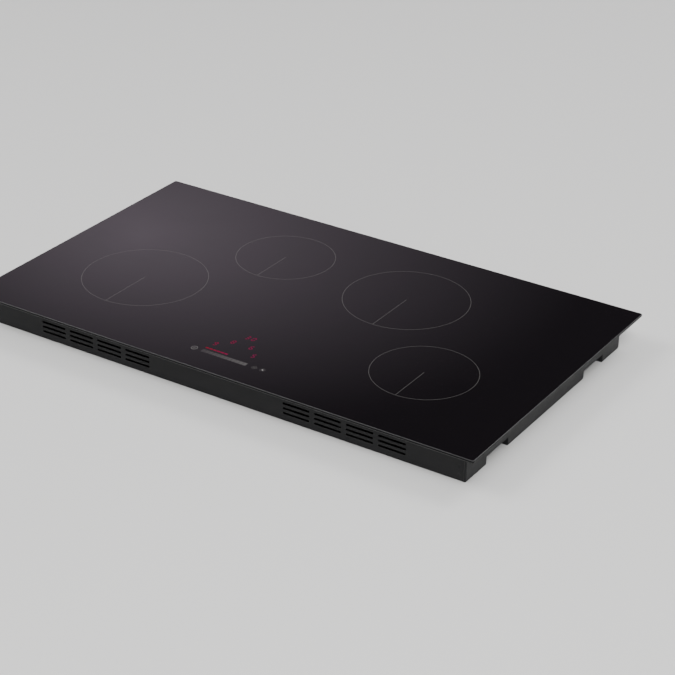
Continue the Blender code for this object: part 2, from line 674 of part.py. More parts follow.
def add_mains_filter():
    """The board where the mains comes in, with its choke and terminal block."""
    sheet = [((FILTER_X[0], FILTER_Y[0], BOARD_BOTTOM), (FILTER_X[1], FILTER_Y[1], BOARD_TOP))]
    board = add_part("filter_board", mesh_of("filter_board", sheet), BOARD)
    parts = [
        component(0.364, 0.162, 0.024, 0.020, 0.015),
        component(0.364, 0.187, 0.024, 0.018, 0.012),
        component(*SUPPLY_START, TERMINAL, TERMINAL, TERMINAL_HEIGHT),
    ]
    join(board, "components", mesh_of("components", parts))

    coil_radius, wire_radius = 0.0130, 0.0065
    middle = BOARD_TOP + GAP + wire_radius
    section = arc((coil_radius, middle), wire_radius, 90, -225, 7)
    add_turned("mains_choke", section, COPPER, (0.331, 0.177, 0), steps=20)
    add_terminal_block()


def add_terminal_block():
    """Six ways behind the window, each with a square entry for a core and a well for its screw."""
    front, back, top = 0.205, 0.2275, 0.0275
    low, high = (WINDOW_X[0] + 0.002, front, BOARD_TOP + GAP), (WINDOW_X[1] - 0.002, back, top)
    block = add_part("terminal_block", mesh_of("terminal_block", [(low, high)]), PLASTIC)
    ways, entries, wells = 6, [], []
    entry_half, entry_start, entry_z = 0.0035, 0.216, (0.0135, 0.0205)
    well_y, well_bottom, well_radius = 0.2105, 0.018, 0.003
    pitch = (high[0] - low[0]) / ways
    for i in range(ways):
        x = low[0] + pitch * (i + 0.5)
        entry_low = (x - entry_half, entry_start, entry_z[0])
        entry_high = (x + entry_half, back + GAP, entry_z[1])
        entries.append((entry_low, entry_high))
        wells.append(((x, well_y, well_bottom), (x, well_y, top + GAP), well_radius))
    cut(block, "ways", mesh_of("ways", entries, wells))


def add_terminal_cover():
    """The lid over the terminal window. It hangs from its hinge and swings up and out."""
    half = (COVER_X[1] - COVER_X[0]) / 2
    barrel = mesh_of("barrel", (), [((-half, 0, 0), (half, 0, 0), HINGE_RADIUS)])
    place = (sum(COVER_X) / 2, HINGE_Y, HINGE_Z)
    cover = add_part("terminal_cover", barrel, PLASTIC, place)
    side_gap, inner_face = 0.0008, -0.0019
    tab_half, tab_height, tab_depth = 0.008, 0.004, 0.0035
    low = (side_gap - half, inner_face, -COVER_DROP)
    high = (half - side_gap, inner_face + COVER_THICKNESS, 0)
    tab_low = (-tab_half, inner_face + COVER_THICKNESS / 2, -COVER_DROP + SHEET / 2)
    tab_high = (tab_half, inner_face + tab_depth, -COVER_DROP + tab_height)
    join(cover, "lid", mesh_of("lid", [(low, high), (tab_low, tab_high)]))
    bore_depth = 0.006
    bores = []
    for end in (-half, half):
        inner, outer = end * (1 - bore_depth / half), end * (1 + bore_depth / half)
        bores.append(((inner, 0, 0), (outer, 0, 0), HINGE_BORE_RADIUS))
    cut(cover, "bores", mesh_of("bores", (), bores))


def add_gland():
    """The cable gland in the rear wall, turned about the cable's line."""
    groove, flange, body = (-SHEET - GAP, GAP), 0.0115, GLAND_HOLE - 0.0004
    reach, chamfer = 0.0045, 0.0012
    profile = [
        (GLAND_BORE, reach), (flange - chamfer, reach), (flange, reach - chamfer), (flange, groove[1]),
        (body, groove[1]), (body, groove[0]), (flange, groove[0]), (flange, -reach), (GLAND_BORE, -reach),
    ]
    place = (GLAND_X, CASING_DEPTH / 2, GLAND_Z)
    add_turned("cable_gland", profile, PLASTIC, place, (-90, 0, 0), steps=24)


def add_controls():
    """The touch board under the glass, with its carrier and the light guide for the digits and slider."""
    xs, ys = CONTROLS_X, CONTROLS_Y
    bottom, wall = PLATE_TOP + GAP, 0.0015
    outer = [((xs[0], ys[0], bottom), (xs[1], ys[1], CARRIER_TOP))]
    carrier = add_part("touch_carrier", mesh_of("carrier", outer), PLASTIC)
    inner = [((xs[0] + wall, ys[0] + wall, bottom + wall), (xs[1] - wall, ys[1] - wall, GLASS_BOTTOM))]
    cut(carrier, "inside", mesh_of("inside", inner))

    inset, board_bottom = 0.001, CARRIER_TOP + GAP
    board_top = board_bottom + BOARD_THICKNESS
    low = (xs[0] + inset, ys[0] + inset, board_bottom)
    high = (xs[1] - inset, ys[1] - inset, board_top)
    board = add_part("touch_board", mesh_of("touch_board", [(low, high)]), BOARD)
    root = board_top - BOARD_THICKNESS / 2
    connector = ((0.070, -0.150, root), (0.090, -0.136, board_top + 0.004))
    buzzer = ((-0.074, -0.170, root), (-0.060, -0.156, board_top + 0.003))
    join(board, "components", mesh_of("components", [connector, buzzer]))
    add_light_guide(board_top + GAP)


def add_light_guide(bottom):
    """The red moulding whose wells carry the light up to the digits and the slider."""
    sheet, top = 0.0015, GLASS_BOTTOM - 2 * GAP
    base = [((-0.050, -0.226, bottom), (0.052, -0.134, bottom + sheet))]
    guide = add_part("display_light_guide", mesh_of("guide", base), DIFFUSER)
    root, half_height = bottom + sheet / 2, 0.008
    wells = [((SLIDER_X[0], SLIDER_Y[0], root), (SLIDER_X[1], SLIDER_Y[1], top))]
    for x, y in DIGITS:
        half_width = 0.010 if x == 0 else 0.005
        wells.append(((x - half_width, y - half_height, root), (x + half_width, y + half_height, top)))
    join(guide, "wells", mesh_of("wells", wells))


def add_clamps():
    """Four straps that swing out under the worktop, each on its own screw."""
    end_radius = CLAMP_WIDTH / 2
    round_ends = arc((0, 0), end_radius, 90, 270, 8) + arc((CLAMP_REACH, 0), end_radius, -90, 90, 8)
    strap = outline_mesh("strap", [round_ends], 0, CLAMP_SHEET)
    tooth_low = (CLAMP_REACH + 0.001, -0.006, CLAMP_SHEET / 4)
    tooth_high = (CLAMP_REACH + 0.005, 0.006, CLAMP_SHEET + 0.003)
    screw_profile = [
        (0, CLAMP_SCREW_TOP), (CLAMP_SCREW_RADIUS, CLAMP_SCREW_TOP), (CLAMP_SCREW_RADIUS, CLAMP_Z - GAP),
        (CLAMP_HEAD_RADIUS, CLAMP_Z - GAP), (CLAMP_HEAD_RADIUS, 0.0010), (0.0038, 0.0004), (0, 0.0004),
    ]
    for name, pivot, end in clamp_pivots():
        # The strap lies along the casing's side, from its pivot towards the nearer end of the cooktop.
        place, turn = (*pivot, CLAMP_Z), (0, 0, 90 * end)
        clamp = add_part(f"worktop_clamp_{name}", strap.copy(), ZINC_STEEL, place, turn)
        join(clamp, "tooth", mesh_of("tooth", [(tooth_low, tooth_high)]))
        hole = mesh_of("hole", (), [((0, 0, -0.01), (0, 0, 0.01), CLAMP_HOLE_RADIUS)])
        cut(clamp, "hole", hole)
        screw_name = f"clamp_screw_{name}"
        add_turned(screw_name, screw_profile, ZINC_STEEL, (*pivot, 0), closed=False, steps=12)


def add_supply_leads():
    """Sleeved wires from the filter board to each power board."""
    start_x, start_y = SUPPLY_START
    reach = TERMINAL / 2 + GAP
    right = [(start_x, start_y - reach), (start_x, 0.120), (SUPPLY_X, 0.090), (SUPPLY_X, SUPPLY_Y)]
    add_part("supply_lead_right", wire_mesh(right), WIRE)

    bend = SUPPLY_BEND
    lane = FILTER_X[0] - SUPPLY_RADIUS - GAP
    left = [(start_x - reach, start_y)]
    left += arc((lane + bend, start_y + bend), bend, 270, 180, 4)
    left += arc((lane - bend, SUPPLY_CROSS_Y - bend), bend, 0, 90, 4)
    left += arc((bend - SUPPLY_X, SUPPLY_CROSS_Y - bend), bend, 90, 180, 4)
    left.append((-SUPPLY_X, SUPPLY_Y))
    add_part("supply_lead_left", wire_mesh(left), WIRE)


def wire_mesh(route):
    """A supply wire that lies level along the route's (x, y) points."""
    return tube_mesh("wire", [(x, y, SUPPLY_Z) for x, y in route], SUPPLY_RADIUS)


def add_ribbon():
    """The flat cable from the touch board down to the left power board."""
    start_y, drop_y, thickness = CONTROLS_Y[1] + GAP, -0.117, 0.001
    top, bottom = 0.0448, BOARD_TOP + GAP
    path = [(start_y, top)]
    path += arc((drop_y - 0.004, top - 0.004), 0.004, 90, 0, 3)
    path.append((drop_y, bottom))
    other_side = [(start_y, top - thickness)]
    other_side += arc((drop_y - 0.004, top - 0.004), 0.004 - thickness, 90, 0, 3)
    other_side.append((drop_y - thickness, bottom))
    outline = path + other_side[::-1]
    half = 0.013
    mesh = outline_mesh("ribbon_cable", [outline], -half, half)
    # The outline's X and Y stand for the cooktop's Y and Z.
    add_part("ribbon_cable", mesh, RIBBON, (-0.057, 0, 0), (90, 0, 90))


def main():
    add_glass()
    add_seal()
    add_rails()
    add_casing()
    add_plates()
    for zone in ZONES:
        add_winding(zone)
        add_former(zone)
        add_ferrites(zone)
        add_mica(zone)
        add_sensor(zone)
    add_power_side("left", -1)
    add_power_side("right", 1)
    add_fan_housings()
    add_impellers()
    add_mains_filter()
    add_terminal_cover()
    add_gland()
    add_controls()
    add_clamps()
    add_supply_leads()
    add_ribbon()


main()
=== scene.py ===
"""The looks of a built-in induction cooktop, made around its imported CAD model.

Units are metres. The origin is the centre of the casing's underside, +X is to the cook's right, +Y is
towards the wall behind and +Z is up. The cooktop stands on a pale floor under soft studio light.
"""

import math

import bmesh
import bpy
from mathutils import Matrix, Quaternion, Vector


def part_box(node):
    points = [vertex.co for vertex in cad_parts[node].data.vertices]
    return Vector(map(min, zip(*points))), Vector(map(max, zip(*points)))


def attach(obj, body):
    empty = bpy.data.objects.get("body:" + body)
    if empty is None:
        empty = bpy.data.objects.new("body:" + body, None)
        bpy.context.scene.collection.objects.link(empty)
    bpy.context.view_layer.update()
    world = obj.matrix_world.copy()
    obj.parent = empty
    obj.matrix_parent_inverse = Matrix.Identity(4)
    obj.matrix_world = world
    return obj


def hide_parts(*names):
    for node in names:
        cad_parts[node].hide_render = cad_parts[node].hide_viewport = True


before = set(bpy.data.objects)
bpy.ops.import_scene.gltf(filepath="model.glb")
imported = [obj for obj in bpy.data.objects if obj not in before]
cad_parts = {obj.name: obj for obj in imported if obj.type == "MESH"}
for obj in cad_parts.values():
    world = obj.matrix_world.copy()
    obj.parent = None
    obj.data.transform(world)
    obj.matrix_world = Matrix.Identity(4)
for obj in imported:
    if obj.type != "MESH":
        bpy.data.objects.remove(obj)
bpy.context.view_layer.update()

BODY = "cooktop"
PIECES = bpy.data.collections.new("cooktop_looks")
STAGE = bpy.data.collections.new("stage")
for collection in (PIECES, STAGE):
    bpy.context.scene.collection.children.link(collection)

# The glass, from its CAD node. What is printed on it stands this much proud.
GLASS_LOW, GLASS_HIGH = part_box("glass_panel")
PRINT_THICKNESS = 0.00003
PRINT_TOP = GLASS_HIGH.z
PRINT_BOTTOM = PRINT_TOP - PRINT_THICKNESS
CORNER_RADIUS, ARRIS = 0.003, 0.0009
POLISHED, GROUND, UNDERSIDE, ARRIS_WITH_PAINTED_HIGHLIGHT = range(4)

# Carving's two operations, how close points are made one, and the angles past which an edge stays sharp
CUT, JOIN, MERGE_DISTANCE = "DIFFERENCE", "UNION", 0.000001
SHARP_ANGLE, CAD_SHARP_ANGLE = math.radians(35), math.radians(30)

# The printed zones: a ring, and a line from its centre to its front. Each ring is a little wider than
# the mica disc below it.
ZONES = ("front_left", "rear_left", "rear_right", "front_right")
RING_BEYOND_MICA, LINE_WIDTH = 0.003, 0.0009

# The touch controls near the front edge: slider, level bar and digits
SLIDER_X, SLIDER_Y, SLIDER_HEIGHT, SLIDER_STEPS = (-0.041, 0.040), -0.2157, 0.0080, 12
LEVEL_X, LEVEL_Y, LEVEL_HEIGHT, LEVEL_STEPS = (-0.041, -0.001), -0.2055, 0.0036, 6
DIGIT_WIDTH, DIGIT_HEIGHT, DIGIT_STROKE, DIGIT_SLANT = 0.0068, 0.0114, 0.0021, 0.10
DIGITS = {
    # name: number, x, y
    "front_left": (9, -0.0355, -0.1880),
    "rear_left": (8, -0.0165, -0.1690),
    "timer_tens": (3, -0.0065, -0.1450),
    "timer_ones": (0, 0.0040, -0.1450),
    "rear_right": (6, 0.0165, -0.1690),
    "front_right": (5, 0.0335, -0.1880),
}
# Which of a digit's bars are lit: top, upper left, upper right, middle, lower left, lower right, bottom
LIT_BARS = {0: "1110111", 3: "1011011", 5: "1101011", 6: "1101111", 8: "1111111", 9: "1111011"}
LYING_BARS = (0, 3, 6)

# The keys, each in a thin circle
POWER_KEY, PAUSE_KEY, LOCK_KEY = (-0.0543, -0.2160), (0.0545, -0.2164), (0.0685, -0.2157)
POWER_CIRCLE, POWER_BOW, KEY_CIRCLE = (0.0045, 0.0051), (0.0010, 0.0015), (0.0036, 0.0041)
POWER_BOW_ENDS, POWER_STEM, STEM_WIDTH = (-235, 55), (0.0004, 0.0021), 0.0005
PAUSE_BAR, PAUSE_SPACING, LOCK_DOT = (0.0004, 0.0016), 0.0010, 0.0014

# How light each print is; the bright one is the lock key's dot, a painted glow. A lit sign has its colour at
# the left and at the right end, and its strength.
PRINT_TONES = {"grey": 0.064, "middle": 0.078, "clear": 0.20, "bright": 0.30}
LEVEL_LIGHT = ((1.0, 0.010, 0.09), (1.0, 0.0, 0.24), 0.21)
DIGIT_LIGHT = ((1.0, 0.0, 0.20), (1.0, 0.0, 0.30), 0.17)

# The casing, a folded tray. Its walls follow its CAD node.
SHEET, BEND = 0.001, 0.002
CASING_LOW, CASING_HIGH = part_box("bottom_casing")
CASING_X, CASING_Y, CASING_TOP = CASING_HIGH.x, -CASING_LOW.y, CASING_HIGH.z
QUARTERS = [(side, end) for side in (-1, 1) for end in (-1, 1)]

# Air slots, as in the CAD model: under each fan, and in front of each heat sink
FAN_X, FAN_Y, INTAKE_RADIUS = 0.225, 0.130, 0.034
INTAKE_SLOT, INTAKE_PITCH, INTAKE_COUNT = 0.004, 0.0085, 7
EXHAUST_LENGTH, EXHAUST_HEIGHT, EXHAUST_COLUMNS, EXHAUST_ROWS = 0.046, 0.0035, 4, 3
EXHAUST_GAP, EXHAUST_Z, EXHAUST_PITCH = 0.008, 0.013, 0.008
SLOT_CUT = 0.005

# Clamp pockets, terminal window, gland hole and hinge, as in the CAD model
POCKET_DEPTH, POCKET_HEIGHT, POCKET_LENGTH, POCKET_Y = 0.040, 0.014, 0.064, 0.150
OPENING_ROUNDING, CLAMP_X, CLAMP_Y, CLAMP_HOLE_RADIUS = 0.0015, 0.402, 0.132, 0.0029
WINDOW_X, WINDOW_Z = (0.299, 0.377), (0.011, 0.029)
COVER_X, HINGE_Y, HINGE_Z = (0.292, 0.384), 0.2427, 0.035
HINGE_PIN_RADIUS, HINGE_BORE_RADIUS, HINGE_RADIUS = 0.001, 0.0014, 0.0022
EAR_RADIUS, EAR_ROOT, EAR_SPAN = 0.0030, 0.0042, (0.0003, 0.0030)
GLAND_X, GLAND_Z, GLAND_BORE, GLAND_HOLE = 0.262, 0.018, 0.006, 0.0086
WALL_CUT = 0.01

# Pressed beads in the casing's floor, welded seams at its corners, and weld dimples beside them
BEAD_WIDTH, BEAD_DEPTH = 0.010, 0.0005
LONG_BEADS_Y, LONG_BEAD = (-0.205, 0.018, 0.212), 0.640
SHORT_BEADS_X, SHORT_BEADS_Y, SHORT_BEAD = (-0.150, 0.150), -0.095, 0.150
SEAM_INSET, SEAM_WIDTH, SEAM_DEPTH = 0.0032, 0.0005, 0.0006
WELD_HEIGHTS, WELD_INSET, WELD_SIZE = (0.010, 0.024, 0.038), 0.008, (0.0024, 0.0004, 0.0024)

# The type plate and the casing's screws
PLATE_LOW, PLATE_HIGH, PLATE_SHEET = (-0.345, 0.0115), (-0.271, 0.0345), 0.0003
SCREW_RADIUS, SCREW_HEIGHT, SCREW_LEVEL = 0.0036, 0.0020, 0.0435
SCREWS_X, SCREWS_Y = (-0.390, -0.130, 0.130, 0.390), (-0.195, 0.0, 0.195)

# The pitch of what is wound or laid side by side in the parts that stay
WINDING_PITCH, CHOKE_PITCH, RIBBON_PITCH = 0.0031, 0.0016, 0.00127
PLASTIC_NODES = ("coil_former", "board_carrier", "touch_carrier", "fan_housing", "fan_impeller")
SPECKLED = {
    # CAD nodes: material, dark, light, roughness, grains to the metre, relief
    "ferrite_star": ("ferrite_bars", (0.030, 0.030, 0.033), (0.065, 0.065, 0.070), 0.55, 900, 0.0001),
    "temperature_sensor": ("sensor_ceramic", (0.66, 0.65, 0.60), (0.80, 0.79, 0.75), 0.6, 1200, 0.00005),
    "bus_capacitor": ("capacitor_box", (0.58, 0.40, 0.06), (0.72, 0.53, 0.12), 0.4, 700, 0.00005),
    "display_light_guide": ("red_light_guide", (0.26, 0.015, 0.02), (0.40, 0.03, 0.04), 0.3, 500, 0.00004),
    "supply_lead": ("wire_sleeve", (0.05, 0.05, 0.055), (0.11, 0.11, 0.12), 0.6, 2600, 0.0002),
}

# The camera, above the front right, with a long lens
CAMERA_PLACE = (1.56338, -2.36592, 1.49587)
CAMERA_DIRECTION = Vector((-0.474030, 0.746092, -0.467592))
CAMERA_LENS, CAMERA_ROLL = 109.187, math.radians(0.98)

# The floor with its backdrop, the cards that the glass mirrors, and the lights
WALL_RADIUS, WALL_HEIGHT, COVE_RADIUS = 10.0, 4.0, 2.5
FLOOR_COLOR, FLOOR_ROUGHNESS = (0.76, 0.76, 0.75), 0.75
CARDS = {
    # name: centre, half size, tilt, strength
    "rear_card": ((-4.30, 5.0, 3.00), (2.59, 1.04), -0.264, 0.786),
    "front_card": ((6.20, -5.0, 2.20), (2.60, 1.00), 0.0, 0.28),
}
CARD_FADE, CARD_TINT = 1.21, (1.0, 0.845, 0.99)
WORLD_LIGHT = (0.058, 0.052, 0.060)
SOFTBOXES = {
    # name: place, size, power
    "overhead": ((0.0, 0.0, 8.0), 15.0, 420),
    "key_light": ((3.0, -2.6, 4.2), 2.4, 300),
    "fill_light": ((-3.4, -2.0, 4.0), 2.6, 130),
    "rear_light": ((1.4, 3.6, 4.2), 2.4, 110),
}


# ---- Materials

def new_material(name, color, roughness, metallic=0.0, **sockets):
    """A Principled material. Its even values are set on the shader itself."""
    material = bpy.data.materials.new(name)
    material.use_nodes = True
    shader = material.node_tree.nodes["Principled BSDF"]
    shader.inputs["Base Color"].default_value = (*color, 1)
    shader.inputs["Roughness"].default_value = roughness
    shader.inputs["Metallic"].default_value = metallic
    for socket, value in sockets.items():
        shader.inputs[socket.replace("_", " ")].default_value = value
    return material


def add_node(material, kind, inputs=None, **settings):
    """A node with these settings. An input's value may be another node's socket, which is then linked."""
    tree = material.node_tree
    made = tree.nodes.new(f"ShaderNode{kind}")
    for setting, value in settings.items():
        setattr(made, setting, value)
    for socket, value in (inputs or {}).items():
        if isinstance(value, bpy.types.NodeSocket):
            tree.links.new(value, made.inputs[socket])
        else:
            made.inputs[socket].default_value = value
    return made


def feed(material, socket, value):
    """Links a pattern to one of the shader's sockets."""
    material.node_tree.links.new(value, material.node_tree.nodes["Principled BSDF"].inputs[socket])


def place_of(material, scale=(1, 1, 1), centre=(0, 0, 0)):
    """The place on the object, measured from a centre and stretched."""
    place = add_node(material, "TexCoord").outputs["Object"]
    moved = add_node(material, "VectorMath", {0: place, 1: centre}, operation="SUBTRACT")
    stretched = add_node(material, "VectorMath", {0: moved.outputs[0], 1: scale}, operation="MULTIPLY")
    return stretched.outputs[0]


def noise(material, scale, detail=3.0, stretch=(1, 1, 1), roughness=0.5):
    """Cloudy noise from 0 to 1. Scale is features to the metre."""
    inputs = {"Vector": place_of(material, stretch), "Scale": scale, "Detail": detail, "Roughness": roughness}
    return add_node(material, "TexNoise", inputs).outputs["Fac"]


def spread(material, value, low, high, out_low, out_high):
    """Maps low to high onto another range, and holds it at the ends."""
    inputs = {"Value": value, 1: low, 2: high, 3: out_low, 4: out_high}
    return add_node(material, "MapRange", inputs).outputs[0]


def compute(material, operation, *values):
    """A sum of one, two or three values."""
    return add_node(material, "Math", dict(enumerate(values)), operation=operation).outputs[0]


def along_x(material):
    """The distance along X, in metres."""
    return add_node(material, "SeparateXYZ", {0: place_of(material)}).outputs["X"]


def waves(material, distance, pitch):
    """Even waves of this pitch, from 0 to 1."""
    turns = compute(material, "MULTIPLY", distance, math.tau / pitch)
    return spread(material, compute(material, "SINE", turns), -1, 1, 0, 1)


def cells(material, scale, randomness=1.0, **settings):
    """A pattern of cells, with this many to the metre."""
    inputs = {"Vector": place_of(material), "Scale": scale, "Randomness": randomness}
    return add_node(material, "TexVoronoi", inputs, **settings)


def cell_values(material, scale, channel):
    """An even value from 0 to 1 in each cell of a pattern."""
    return add_node(material, "SeparateColor", {0: cells(material, scale).outputs["Color"]}).outputs[channel]


def shade(material, value, dark, light):
    """A colour between dark and light, for a value from 0 to 1."""
    ramp = add_node(material, "ValToRGB", {"Fac": value})
    ramp.color_ramp.elements[0].color = (*dark, 1)
    ramp.color_ramp.elements[1].color = (*light, 1)
    return ramp.outputs["Color"]


def tint(material, value, dark, light):
    """Colours the surface between dark and light."""
    feed(material, "Base Color", shade(material, value, dark, light))


def gloss(material, value, low, high, smooth, rough):
    """Spreads the surface's roughness from smooth to rough."""
    feed(material, "Roughness", spread(material, value, low, high, smooth, rough))


def bump(material, height, distance):
    """Adds relief of this depth in metres."""
    made = add_node(material, "Bump", {"Height": height, "Distance": distance})
    feed(material, "Normal", made.outputs["Normal"])


def worn_edges(material, radius):
    """1 on edges and 0 on flats: how far the rounded normal leans from the true one."""
    rounded = add_node(material, "Bevel", {"Radius": radius}, samples=6).outputs["Normal"]
    true = add_node(material, "NewGeometry").outputs["Normal"]
    lean = add_node(material, "VectorMath", {0: rounded, 1: true}, operation="DOT_PRODUCT")
    return spread(material, lean.outputs["Value"], 0.98, 0.80, 0.0, 1.0)


def glass_material():
    """Black glass-ceramic: deep black, polished, with a trace of handling in its gloss."""
    material = new_material("glass_ceramic", (0.0030, 0.0023, 0.0030), 0.05, IOR=1.52)
    film = noise(material, 9, detail=4, roughness=0.6)
    gloss(material, film, 0.45, 0.75, 0.045, 0.085)
    bump(material, noise(material, 38, detail=1), 0.00001)
    return material


def glass_edge_material():
    """The ground sides of the glass, a dull black with fine grinding marks along them."""
    material = new_material("glass_ground_edge", (0.002, 0.002, 0.002), 0.48, Specular_IOR_Level=0.08)
    marks = noise(material, 3000, detail=2, stretch=(0.02, 0.02, 1))
    gloss(material, marks, 0.3, 0.7, 0.42, 0.55)
    return material


def glass_arris_painted_highlight_material():
    """The narrow arris between face and side, ground to a fine satin that catches the light. Its colour,
    lighter than the ground side's, is a painted highlight.
    """
    # Painted highlight: the arris is coloured lighter than the rest of the black glass.
    material = new_material("glass_arris", (0.030, 0.030, 0.031), 0.35)
    marks = noise(material, 1500, detail=2)
    tint(material, marks, (0.024, 0.024, 0.025), (0.036, 0.036, 0.037))
    return material


def glass_underside_material():
    """The underside of the glass: rolled with small round bumps, and enamelled black. The hollows between the
    bumps are painted darker: painted shade.
    """
    material = new_material("glass_underside", (0.012, 0.012, 0.013), 0.28)
    dome = spread(material, cells(material, 330, 0.12).outputs["Distance"], 0.15, 0.45, 1, 0)
    # Painted shade: coloured darker between the bumps than on their tops.
    tint(material, dome, (0.008, 0.008, 0.009), (0.018, 0.018, 0.019))
    bump(material, dome, 0.0002)
    return material


def print_material(name, tone):
    """Grey enamel, baked on the glass: a screen print, so its ink lies a little unevenly."""
    material = new_material(name, (tone, tone * 0.97, tone * 0.94), 0.16)
    grain = noise(material, 2500, detail=2)
    dark, light = [(t, t * 0.97, t * 0.94) for t in (tone * 0.8, tone * 1.2)]
    tint(material, grain, dark, light)
    return material


def painted_glow_slider_material():
    """The slider's print, with soft light from below towards its far end painted into its colour."""
    material = new_material("slider_print", (0.04, 0.036, 0.037), 0.16)
    share = spread(material, along_x(material), *SLIDER_X, 0, 1)
    # Painted glow: the print is coloured lighter towards its far end, as if lit from below.
    tint(material, share, (0.026, 0.024, 0.024), (0.066, 0.063, 0.062))
    return material


def light_material(name, x_span, start, end, strength):
    """A lit sign, whose colour shifts along X. It has hardly any gloss of its own."""
    dim = (0.02, 0.001, 0.002)
    material = new_material(name, dim, 0.3, Specular_IOR_Level=0.1, Emission_Strength=strength)
    share = spread(material, along_x(material), *x_span, 0, 1)
    feed(material, "Emission Color", shade(material, share, start, end))
    return material


def foam_material():
    """Black foam with fine cells, whose pores are painted darker: painted shade."""
    material = new_material("foam_seal", (0.018, 0.018, 0.019), 0.95)
    walls = cells(material, 2200).outputs["Distance"]
    # Painted shade: each cell is coloured darker towards its middle, where the pore is.
    tint(material, walls, (0.010, 0.010, 0.011), (0.034, 0.034, 0.035))
    bump(material, walls, 0.0002)
    return material


def coated_steel_material():
    """Black powder coat over steel: fine orange peel, lighter where an edge is rubbed, with faint scuffs."""
    material = new_material("black_coated_steel", (0.010, 0.010, 0.011), 0.48, Specular_IOR_Level=0.24)
    patches = noise(material, 14, detail=5, roughness=0.65)
    base = shade(material, patches, (0.007, 0.007, 0.008), (0.013, 0.013, 0.014))
    inputs = {0: worn_edges(material, 0.0004), 6: base, 7: (0.085, 0.084, 0.082, 1)}
    feed(material, "Base Color", add_node(material, "Mix", inputs, data_type="RGBA").outputs[2])
    scuffs = noise(material, 160, detail=6, stretch=(0.4, 1, 1), roughness=0.7)
    gloss(material, scuffs, 0.35, 0.7, 0.45, 0.54)
    bump(material, noise(material, 900, detail=2), 0.00004)
    return material


def galvanised_material():
    """Hot-dip galvanised sheet, with its frosty spangle."""
    material = new_material("galvanised_sheet", (0.55, 0.56, 0.57), 0.4, metallic=1.0)
    spangle = cell_values(material, 240, 0)
    tint(material, spangle, (0.50, 0.51, 0.53), (0.57, 0.58, 0.59))
    gloss(material, spangle, 0, 1, 0.37, 0.43)
    bump(material, noise(material, 500, detail=3), 0.00003)
    return material


def zinc_material():
    """Bright zinc plate, a little stained."""
    material = new_material("bright_zinc", (0.62, 0.62, 0.63), 0.28, metallic=1.0)
    stain = noise(material, 220, detail=4)
    tint(material, stain, (0.50, 0.50, 0.50), (0.70, 0.70, 0.72))
    gloss(material, stain, 0.3, 0.7, 0.22, 0.38)
    return material


def aluminium_material():
    """Mill-finish aluminium, with its rolling lines along X."""
    material = new_material("mill_aluminium", (0.74, 0.75, 0.76), 0.35, metallic=1.0)
    lines = noise(material, 1400, detail=3, stretch=(0.015, 1, 1))
    tint(material, lines, (0.62, 0.63, 0.64), (0.80, 0.81, 0.82))
    gloss(material, lines, 0.3, 0.7, 0.28, 0.44)
    bump(material, lines, 0.00003)
    return material


def copper_material(name, centre, pitch):
    """Lacquered litz wire, wound round a centre at this pitch, with painted shade darkening the grooves
    between turns.
    """
    material = new_material(name, (0.60, 0.26, 0.13), 0.38, metallic=1.0)
    place = place_of(material, (1, 1, 0), centre)
    radius = add_node(material, "VectorMath", {0: place}, operation="LENGTH").outputs["Value"]
    crest = waves(material, radius, pitch)
    # Painted shade: each turn is coloured dark in the groove beside the next.
    tint(material, crest, (0.16, 0.055, 0.025), (0.72, 0.33, 0.17))
    strands = noise(material, 1800, detail=2, stretch=(1, 1, 4))
    bump(material, compute(material, "MULTIPLY_ADD", strands, 0.25, crest), 0.0008)
    return material


def speckled_material(name, dark, light, roughness, scale, relief):
    """A cast, moulded or pressed surface with a fine even texture."""
    middle = tuple((a + b) / 2 for a, b in zip(dark, light))
    material = new_material(name, middle, roughness)
    grain = noise(material, scale, detail=4, roughness=0.6)
    tint(material, grain, dark, light)
    gloss(material, grain, 0.3, 0.7, roughness - 0.06, roughness + 0.08)
    bump(material, grain, relief)
    return material


def plastic_material():
    """Black moulded plastic with a fine grain."""
    dark, light = (0.016, 0.016, 0.017), (0.030, 0.030, 0.031)
    return speckled_material("black_moulding", dark, light, 0.42, 1600, 0.00005)


def mica_material():
    """Pressed mica: pale flakes in a tan sheet."""
    material = new_material("mica_sheet", (0.45, 0.38, 0.27), 0.35)
    flake = cell_values(material, 260, 1)
    tint(material, flake, (0.34, 0.27, 0.17), (0.60, 0.54, 0.42))
    gloss(material, flake, 0, 1, 0.25, 0.5)
    return material


def board_material():
    """Green solder resist over copper tracks that run in steps along X and Y."""
    material = new_material("circuit_board", (0.02, 0.13, 0.05), 0.3)
    steps = cells(material, 230, distance="CHEBYCHEV", feature="F1").outputs["Distance"]
    track = spread(material, compute(material, "PINGPONG", steps, 5.0), 0.22, 0.30, 0, 1)
    tint(material, track, (0.012, 0.085, 0.032), (0.030, 0.175, 0.070))
    bump(material, track, 0.00004)
    return material


def ribbon_material():
    """Grey flat cable, with its cores side by side across X, and painted shade darkening the grooves between
    them.
    """
    material = new_material("flat_cable", (0.42, 0.43, 0.45), 0.45)
    crest = waves(material, along_x(material), RIBBON_PITCH)
    # Painted shade: the cable is coloured darker in the grooves between its cores.
    tint(material, crest, (0.26, 0.27, 0.28), (0.50, 0.51, 0.53))
    bump(material, crest, 0.0003)
    return material


# ---- Mesh tools

def arc(centre, radius, start, end, steps):
    """Points on an arc, with its angles in degrees."""
    angles = [math.radians(start + (end - start) * i / steps) for i in range(steps + 1)]
    return [(centre[0] + radius * math.cos(a), centre[1] + radius * math.sin(a)) for a in angles]


def rounded_rectangle(low, high, radius, steps=6):
    """The outline of a rectangle between two corners, with round corners."""
    left, bottom, right, top = low[0] + radius, low[1] + radius, high[0] - radius, high[1] - radius
    centres = ((right, top), (left, top), (left, bottom), (right, bottom))
    points = []
    for i, centre in enumerate(centres):
        points += arc(centre, radius, 90 * i, 90 * (i + 1), steps)
    return points


